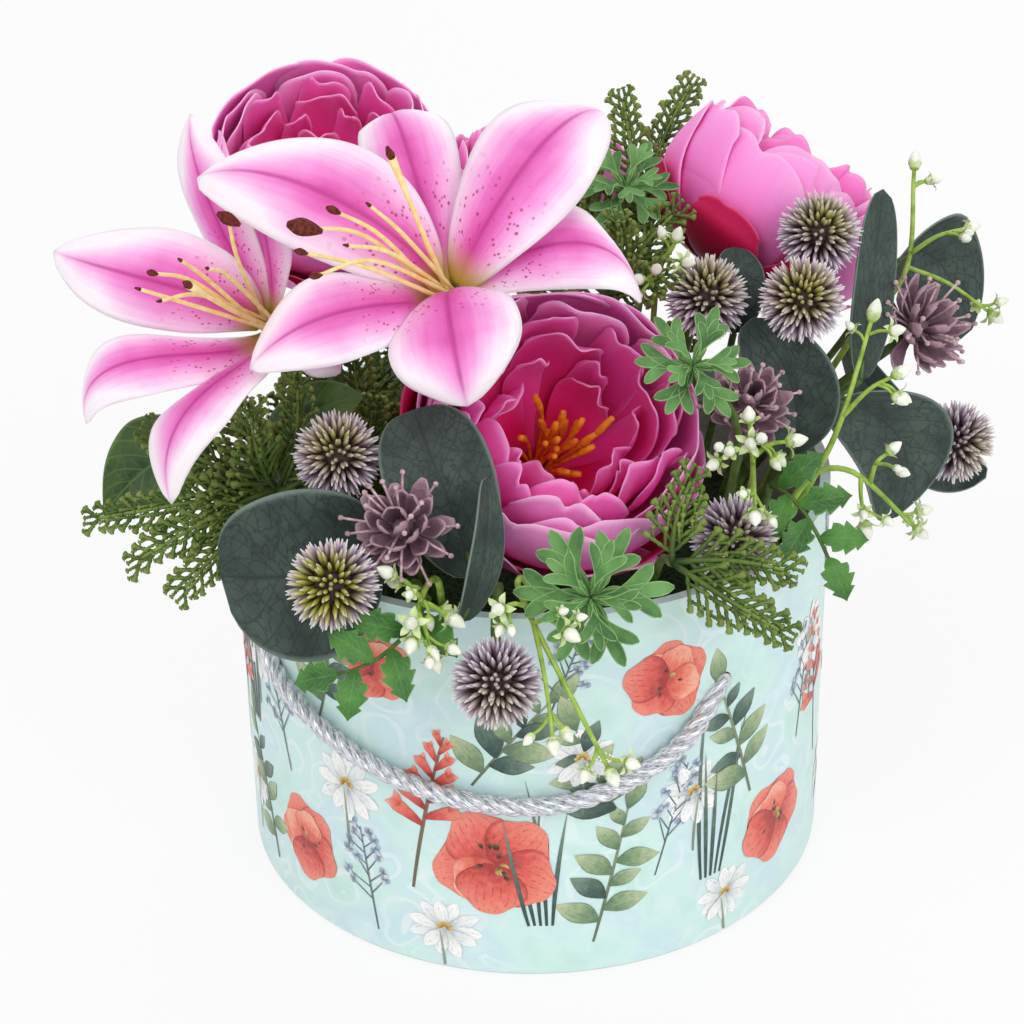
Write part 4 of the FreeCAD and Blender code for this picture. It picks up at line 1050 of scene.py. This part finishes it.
# leaf sprigs: veined eucalyptus, broad green leaves, toothed leaves
# each sprig: stem, entry, leaves; each leaf: seat, middle, tip, width, and the way it faces if not frontUp
leafSprigs = {
    "left_eucalyptus": ("eucalyptus_left", "eucalyptus", [
        ([(-22, -117, 146), (-19, -104, 148), (-18, -90, 144)], (-20, -70),
         [((-19, -91, 149), (-28, -81, 174), (-36, -64, 189), 34),
          ((-22, -120, 147), (-15, -110, 163), (-14, -88, 178), 13, (0.75, -0.5, 0.5))]),
        ([(-47, -80, 152)], (-44, -58),
         [((-48, -83, 153), (-69, -93, 149), (-95, -90, 147), 54, (0, -0.95, 0.3))])]),
    "right_eucalyptus": ("eucalyptus_right", "eucalyptus", [
        ([(107, -14, 172), (98, -14, 164), (82, -16, 142)], (70, -14),
         [((84, -19, 147), (85, -21, 170), (72, -10, 193), 30),
          ((101, -12, 163), (122, -11, 148), (121, -19, 124), 36),
          ((108, -13, 175), (111, -1, 198), (117, 26, 222), 17, (0.5, -0.7, 0.5))]),
        ([(67, 2, 182)], (54, 4), [((67, 2, 184), (69, 6, 196), (68, 15, 207), 17)])]),
    "back_eucalyptus": ("eucalyptus_back", "eucalyptus", [
        ([(124, 31, 194), (106, 25, 168)], (72, 34),
         [((122, 36, 200), (140, 46, 188), (153, 41, 164), 36),
          ((107, 26, 165), (134, 26, 126), (158, 22, 116), 20)])]),
    "broad_leaf_sprig": ("broad_leaves", "broad", [
        ([(-100, -36, 170), (-84, -30, 158)], (-72, -24),
         [((-102, -37, 168), (-122, -39, 158), (-137, -43, 143), 30),
          ((-87, -33, 163), (-66, -48, 182), (-52, -48, 186), 18)])]),
    "toothed_leaf_sprig": ("serrated_leaves", "toothed", [
        ([(-32, -106, 147), (-37, -92, 144)], (-38, -72),
         [((-33, -109, 147), (-43, -126, 142), (-58, -129, 136), 24)]),
        ([(74, -57, 157)], (66, -51), [((75, -60, 159), (82, -69, 156), (90, -80, 144), 24)])]),
}


def leafFinish(name, dark, light, vein, paintedRimHighlight, mesh=(9, 13), roughness=0.55, network=0.8):
    newFinish(name, roughness, 0.4)
    u, v = uvAxes()
    side = fromMiddle(u)
    cloud = grain(objectSpace(), 90, 4)
    web = cells(wander(stretched(*mesh), 3, 2, 0.7), 1, feature="DISTANCE_TO_EDGE")
    slant = calc("SINE", times(minus(v, times(side, 0.3)), 50))
    lines = larger(ramp(side, (0, 0.8), (0.05, 0)), ramp(slant, (0.9, 0), (0.99, 0.5)))
    lines = larger(ramp(web, (0, network), (0.07, 0)), lines)
    tone = blend(lines, ramp(cloud, (0.32, dark), (0.68, light)), paint(*vein))
    # a paler band along the leaf edges: painted highlight on the rims
    tone = blend(ramp(side, (0.93, 0), (0.99, 0.8)), tone, paint(*paintedRimHighlight))
    return coat(tone, minus(cloud, lines))


leafFinishes = {
    "eucalyptus": leafFinish("eucalyptusLeaf", (38, 53, 48), (64, 82, 74), (26, 37, 35), (122, 140, 130)),
    "broad": leafFinish("broadLeaf", (34, 62, 24), (74, 108, 44), (96, 130, 62), (110, 140, 70),
                        (6, 10), 0.45, 0.3),
    "toothed": leafFinish("toothedLeaf", (34, 84, 30), (78, 134, 54), (104, 156, 74), (110, 160, 80),
                          (4, 6), 0.45, 0.2),
}
leafOutlines = {
    "eucalyptus": lambda t: (4 * t * (1 - t)) ** 0.48 * (0.92 + 0.12 * t) if 0 < t < 1 else 0.02,
    "broad": lambda t: max(0.03, eased((0.05, 0.72, 1, 0.86, 0.52, 0.02), t)),
    "toothed": lambda t: max(0.03, eased((0.05, 0.62, 0.92, 0.84, 0.55, 0.02), t)
                             * (0.66 + 0.42 * (1 - (t * 4) % 1))),
}
leafShape = {"thickness": 0.6, "stem": (1.2, 1.4), "stalk": (0.8, 0.6), "cup": 0.16, "fold": 0.06,
             "wave": 0.05, "grid": (16, 28)}
toothed = {"places": (0.12, 0.3, 0.48, 0.66, 0.84, 1), "length": 17, "width": 11, "swing": 62,
           "lift": 0.16, "cup": 0.22, "fold": 0.1, "grid": (8, 33)}


def nearestOn(run, place):
    return min(run, key=lambda p: (p - place).length)


def toothedCluster(bm, stalks, line, face, outline):  # small toothed leaves to both sides of a short stalk
    tube(stalks, [curveAt(line, 0.1 * i) for i in range(11)], leafShape["stalk"], 6)
    for number, t in enumerate(toothed["places"]):
        along = headingAt(line, min(t, 0.95))
        side = along.cross(face).normalized()
        swing = radians(toothed["swing"]) * (1 if number % 2 else -1) if t < 1 else 0
        way = along * cos(swing) + side * sin(swing)
        root = curveAt(line, t)
        size = toothed["length"] * (1.1 - 0.25 * t) * mm
        lift = face.normalized() * (toothed["lift"] * size)
        blade(bm, [root, root + way * (0.5 * size) + lift, root + way * size], way.cross(face).normalized(),
              lambda t: 0.5 * toothed["width"] * mm * outline(t),
              lambda s, t, w: w * (toothed["cup"] * s * s - toothed["fold"] * exp(-(s / 0.12) ** 2)),
              *toothed["grid"])


def makeLeafSprigs():
    for name, (node, kind, sprigs) in leafSprigs.items():
        bm, stalks = newShape(), newShape()
        outline = leafOutlines[kind]
        for stem, entry, leaves in sprigs:
            run = plant(stalks, [], stem, entry, leafShape["stem"], steps=30)
            for number, (place, middle, tip, width, *face) in enumerate(leaves):
                face = Vector(face[0] if face else frontUp)
                points = [nearestOn(run, vec(place)), vec(middle), vec(tip)]
                if kind == "toothed":
                    toothedCluster(bm, stalks, points, face, outline)
                    continue
                across = (points[2] - points[0]).cross(face).normalized()
                tube(stalks, [curveAt(points, t) for t in (0, 0.05, 0.12)], leafShape["stalk"], 7)

                def rise(s, t, w):
                    fold = leafShape["fold"] * exp(-(s / 0.1) ** 2)
                    wave = leafShape["wave"] * s * s * sin(9 * t + 2 * number + s)
                    return w * (leafShape["cup"] * s * s - fold + wave)
                blade(bm, points, across, lambda t: 0.5 * width * mm * max(0.02, outline(t)), rise,
                      *leafShape["grid"])
        finishPiece(name, bm, [leafFinishes[kind]], [node],
                    thickness=leafShape["thickness"])
        finishPiece(name + "_stems", stalks, [stemGreen])


makeLeafSprigs()
print("leaf sprigs ready")

# parsley rosettes: fans of round-ended lobes; each: node, place, facing, scale, stem, entry
parsleys = {
    "centre_parsley": ("parsley_centre", (49, -58, 199), (0.1, -0.75, 0.65), 1, [(64, -55, 172)],
                       (52, -50)),
    "front_parsley": ("parsley_front", (16, -113, 151), (0, -0.85, 0.5), 1.25, [(13, -96, 144)], (12, -72)),
    "top_parsley": ("parsley_top", (33, 37, 219), (0, -0.5, 0.85), 1, [], (24, 26)),
}
parsleyShape = {"length": 18, "layers": ((6, 1, 0), (5, 0.72, 0.42)), "fingers": (-36, 0, 36),
                "fingerWidth": 0.19, "fork": 0.4, "roundFrom": 0.84, "thickness": 0.5, "stem": 1.3,
                "outline": (0.3, 0.45, 0.75, 0.8, 0.88, 0.96, 1, 1), "grid": (6, 20)}
parsleyLeaf = leafFinish("parsleyLeaf", (52, 96, 44), (110, 160, 90), (104, 154, 84), (160, 198, 130),
                         (3, 6), 0.6, 0)


def makeParsleys():
    roundFrom, share = parsleyShape["roundFrom"], parsleyShape["fork"]
    for name, (node, head, facing, scale, stem, entry) in parsleys.items():
        rng = random.Random(len(name))
        centre, facing = vec(head), Vector(facing).normalized()
        bm, stalk = newShape(), newShape()
        plant(stalk, [centre], stem, entry, [parsleyShape["stem"]])
        for layer, (count, size, lift) in enumerate(parsleyShape["layers"]):
            for i in range(count):
                turn = tau * (i + 0.4 * layer) / count + rng.uniform(-0.12, 0.12)
                length = parsleyShape["length"] * scale * size * rng.uniform(0.9, 1.08) * mm
                fork = aroundAxis(centre, facing, turn, share * length, (0.1 + lift) * length)
                root = aroundAxis(centre, facing, turn, 0.04 * length, 0.02 * length)

                def half(t):
                    tail = max(0, (t - roundFrom) / (1 - roundFrom))
                    width = parsleyShape["fingerWidth"] * length * eased(parsleyShape["outline"], t)
                    return 0.5 * width * sqrt(max(0.02, 1 - tail * tail))
                for finger in parsleyShape["fingers"]:
                    angle = turn + radians(finger + rng.uniform(-5, 5))
                    reach = (1.04 - share) * length * (1 - 0.004 * abs(finger)) * rng.uniform(0.88, 1.06)
                    tip = aroundAxis(fork, facing, angle, reach, (0.07 + 0.4 * lift) * length)
                    across = (tip - fork).cross(facing).normalized()
                    blade(bm, [root, fork, tip], across, half, lambda s, t, w: 0.3 * w * s * s,
                          *parsleyShape["grid"])
        finishPiece(name, bm, [parsleyLeaf], [node], thickness=parsleyShape["thickness"])
        finishPiece(name + "_stem", stalk, [stemGreen])


makeParsleys()
print("parsley ready")

# cypress sprays: branches with scaly shoots in two rows
# each spray: stem, entry, branches; each branch: middle and tip
cypresses = {
    "left_cypress": ("cypress_left", [
        ([(-80, -56, 158), (-70, -44, 150)], (-62, -34),
         [((-102, -62, 158), (-136, -58, 150)), ((-92, -70, 151), (-108, -78, 136)),
          ((-84, -60, 170), (-86, -60, 186)), ((-88, -50, 172), (-96, -42, 186)),
          ((-74, -54, 172), (-72, -50, 190)), ((-100, -50, 164), (-118, -44, 172)),
          ((-96, -66, 156), (-122, -70, 142)), ((-72, -62, 164), (-64, -60, 172))]),
        ([(-52, -30, 138), (-50, -28, 126)], (-48, -26),
         [((-52, -34, 156), (-50, -36, 176)), ((-58, -32, 150), (-62, -36, 170)),
          ((-42, -28, 150), (-40, -28, 168)), ((-60, -20, 148), (-70, -14, 160)),
          ((-46, -16, 148), (-42, -4, 162)), ((-55, -20, 164), (-57, -14, 188)),
          ((-66, -17, 168), (-78, -9, 194))])]),
    "top_cypress": ("cypress_top", [
        ([(42, 52, 190), (38, 46, 170)], (30, 38),
         [((38, 62, 213), (34, 76, 236)), ((44, 82, 206), (60, 114, 228)), ((24, 48, 208), (16, 53, 227))]),
        ([(26, 12, 192), (20, 14, 170)], (14, 16),
         [((30, 8, 205), (30, 8, 218)), ((12, 20, 202), (2, 23, 213)), ((36, 20, 203), (48, 22, 216)),
          ((34, 0, 200), (44, -8, 208)), ((10, 6, 196), (-4, 4, 206)), ((18, 30, 203), (20, 40, 220))]),
        ([(-10, 44, 132), (-10, 42, 122)], (-10, 40),
         [((-16, 52, 146), (-22, 62, 158)), ((-2, 50, 146), (2, 52, 162)), ((-20, 42, 144), (-34, 40, 152)),
          ((-4, 34, 146), (-4, 26, 162))]),
        ([(34, 76, 128), (32, 74, 120)], (30, 70),
         [((44, 80, 138), (58, 76, 146)), ((30, 84, 140), (24, 90, 146)), ((40, 68, 140), (48, 58, 152))]),
        ([(-30, 78, 128), (-30, 76, 120)], (-28, 72),
         [((-38, 84, 138), (-50, 80, 142)), ((-24, 86, 140), (-16, 90, 146)),
          ((-34, 70, 140), (-38, 60, 150))]),
        ([(-66, 30, 130), (-64, 28, 122)], (-62, 26),
         [((-72, 36, 142), (-82, 42, 148)), ((-72, 22, 142), (-84, 16, 150)),
          ((-58, 30, 144), (-48, 34, 154))])]),
    "right_cypress": ("cypress_right", [
        ([(41, -97, 153), (38, -84, 145)], (34, -68),
         [((56, -108, 147), (72, -114, 139)), ((58, -100, 155), (74, -103, 153)),
          ((42, -94, 164), (47, -85, 174))])]),
}
cypressShape = {"length": 13, "radius": 0.75, "beads": 9, "spacing": 3.4, "from": 0.14, "stem": 1.4,
                "branch": (1.1, 0.85, 0.6)}


def cypressFinish():
    newFinish("cypressScale", 0.6, 0.3)
    spot = objectSpace()
    shade = plus(times(uvAxes()[1], 0.45), times(grain(spot, 140), 0.6))
    tone = ramp(shade, (0.25, (44, 66, 24)), (0.5, (84, 110, 42)), (0.8, (134, 152, 76)))
    return coat(tone, grain(spot, 1500, 1), 0.5)


cypressScale = cypressFinish()


def shootShape():  # a beaded shoot along +Z, one unit long
    bm = newShape()
    beads = cypressShape["beads"]
    radii = [0.7 if i % 2 else 1.1 for i in range(beads - 1)] + [1.7, 1.3]
    tube(bm, [skyward * (i / beads) for i in range(beads + 1)], radii, 4, 0, 1)
    return meshOf("shoot", bm)


def makeCypress():
    shoot = shootShape()
    thick, start = cypressShape["radius"] * mm, cypressShape["from"]
    for name, (node, sprays) in cypresses.items():
        rng = random.Random(len(name) + 3)
        bm, stalks = newShape(), newShape()
        for stem, entry, branches in sprays:
            run = plant(stalks, [], stem, entry, [cypressShape["stem"]], 7, steps=20)
            for middle, tip in branches:
                points = [run[0], vec(middle), vec(tip)]
                line = [curveAt(points, i / 14) for i in range(15)]
                tube(bm, line, cypressShape["branch"], 6)
                length = sum((b - a).length for a, b in zip(line, line[1:]))
                count = max(6, int(length / (cypressShape["spacing"] * mm)))
                for i in range(count):
                    t = start + (1 - start) * i / (count - 1)
                    along = headingAt(points, min(t, 0.98))
                    side = along.cross(Vector(frontUp)).normalized()
                    lift = side.cross(along)
                    root = curveAt(points, t)
                    for sign in (-1, 1):
                        size = cypressShape["length"] * (1.15 - 0.62 * t) * rng.uniform(0.8, 1.1) * mm
                        way = along * rng.uniform(0.85, 1.15) + side * sign
                        way = (way + lift * rng.uniform(-0.25, 0.25)).normalized()
                        stamp(bm, shoot, aimed(root, way, (thick, thick, size)))
                        for k in range(3):
                            turn = sign if k % 2 else -sign
                            fork = (way + side * (0.75 * turn) + along * 0.45).normalized()
                            stamp(bm, shoot, aimed(root + way * (size * (0.25 + 0.22 * k)), fork,
                                                   (0.8 * thick, 0.8 * thick, size * (0.62 - 0.12 * k))))
        finishPiece(name, bm, [cypressScale], [node])
        finishPiece(name + "_stems", stalks, [stemGreen])


makeCypress()
print("cypress ready")

# white bud sprays: lime stalks, star calyces, pearl buds; each spray: stem, entry, places of buds
budSprays = {
    "left_buds": ("bud_spray_left", [
        ([(-33, -110, 152), (-29, -95, 146)], (-28, -76),
         [(-36, -128, 147), (-41, -116, 161), (-26, -122, 151), (-30, -128, 141)])]),
    "front_buds": ("bud_spray_front", [
        ([(-4, -112, 150), (-2, -94, 144)], (-1, -76),
         [(20, -148, 114), (-10, -130, 158), (8, -128, 149), (4, -146, 124)])]),
    "centre_buds": ("bud_spray_centre", [([(41, 0, 196)], (40, 8), [(47, -3, 217), (36, -12, 208)])]),
    "side_buds": ("bud_spray_side", [
        ([(68, -62, 164), (66, -56, 148)], (58, -50),
         [(66, -66, 184), (66, -90, 166), (78, -64, 176), (56, -76, 176)])]),
    "right_buds": ("bud_spray_right", [
        ([(98, -36, 168), (90, -34, 146)], (74, -30), [(108, -24, 198), (114, -36, 184)]),
        ([(100, -46, 156), (85, -42, 147)], (74, -40),
         [(122, -48, 136), (104, -58, 144), (112, -46, 162)])]),
    "top_buds": ("bud_spray_top", [
        ([(126, 26, 192), (106, 18, 168)], (80, 24), [(130, 44, 222), (156, 28, 176), (146, 30, 206)])]),
}
budShape = {"length": 7, "width": 2.3, "sepals": 5, "sepalLength": 5.2, "sepalWidth": 1.35,
            "openness": (0.25, 0.6, 0.95), "main": (0.7, 1, 1.3, 1.3), "stalk": (0.85, 0.7, 0.6),
            "twig": (0.6, 0.5), "sepalGrid": (4, 5), "forkStep": 3.2, "cluster": 2}
budWhite = plainFinish("budWhite", (222, 228, 206), (250, 250, 242), 300, 0.4, 0.15)
budLime = plainFinish("budLime", (118, 156, 48), (176, 204, 96), 220, 0.5, 0.2)
calyxPale = plainFinish("calyxPale", (178, 204, 120), (226, 236, 196), 260, 0.5, 0.2)


def budMesh(openness):  # a pearl in a five-pointed calyx, along +Z
    bm = newShape()
    long, wide = skyward * (budShape["length"] * mm), budShape["width"] * mm
    tube(bm, [long * f for f in (0.1, 0.2, 0.35, 0.5, 0.65, 0.8, 0.92, 1)],
         (0.5, 0.85, 1, 1, 0.86, 0.6, 0.34, 0.1), 8, 0, wide)
    tube(bm, [long * f for f in (-0.12, -0.02, 0.1, 0.2)], (0.3, 0.72, 0.8, 0.5), 8, 1, wide)
    reach = budShape["sepalLength"] * mm
    for i in range(budShape["sepals"]):
        turn = tau * i / budShape["sepals"]
        out = Vector((cos(turn), sin(turn), 0))
        points = [out * (0.5 * wide),
                  out * (0.55 * wide + 0.5 * reach * openness) + skyward * (0.3 * reach),
                  out * (0.5 * wide + reach * openness) + skyward * (reach * (0.75 - 0.7 * openness))]
        blade(bm, points, out.cross(skyward),
              lambda t: budShape["sepalWidth"] * mm * max(0.03, eased((0.7, 1, 0.8, 0.02), t)),
              lambda s, t, w: -0.3 * w * (1 - s * s), *budShape["sepalGrid"], 2)
    return meshOf("bud", bm)


def makeBuds():
    shapes = [budMesh(openness) for openness in budShape["openness"]]
    for name, (node, sprays) in budSprays.items():
        rng = random.Random(len(name) * 7)
        bm = newShape()
        for stem, entry, buds in sprays:
            fork, crown = vec(stem[0]), vec(buds[0])
            up = (crown - fork).normalized()
            main = plant(bm, [crown], stem, entry, budShape["main"], 7, 1, 30)
            heads = [(crown, up)]
            for i, spot in enumerate(buds[1:]):
                root = fork + up * (budShape["forkStep"] * (i + 1) * mm)
                end = vec(spot)
                bow = root.lerp(end, 0.5) + vec((0, -1, 2.2))
                run = smoothRun([nearestOn(main, root), bow, end], 10)
                tube(bm, run, budShape["stalk"], 6, 1)
                heads.append((end, (run[-1] - run[-2]).normalized()))
            for end, way in list(heads):  # each stalk ends in a small cluster
                for k in range(budShape["cluster"]):
                    off = Vector([rng.uniform(-1, 1) for j in range(3)])
                    side = (off - way * off.dot(way)).normalized()
                    start = end - way * (rng.uniform(4.5, 8.5) * mm)
                    lean = way * 0.55 + side * 0.8 + Vector((0, -0.35, 0))
                    spot = start + lean * (rng.uniform(5, 7.5) * mm)
                    bow = start.lerp(spot, 0.5) + way * (0.8 * mm)
                    tube(bm, smoothRun([start, bow, spot], 5), budShape["twig"], 5, 1)
                    heads.append((spot, (spot - start).normalized()))
            for i, (end, way) in enumerate(heads):
                size = rng.uniform(0.78, 1) if i < len(buds) else rng.uniform(0.55, 0.85)
                stamp(bm, shapes[rng.randrange(3)], aimed(end, way, (size, size, size), rng.uniform(0, 6)))
        finishPiece(name, bm, [budWhite, budLime, calyxPale], [node])


makeBuds()
print("buds ready")
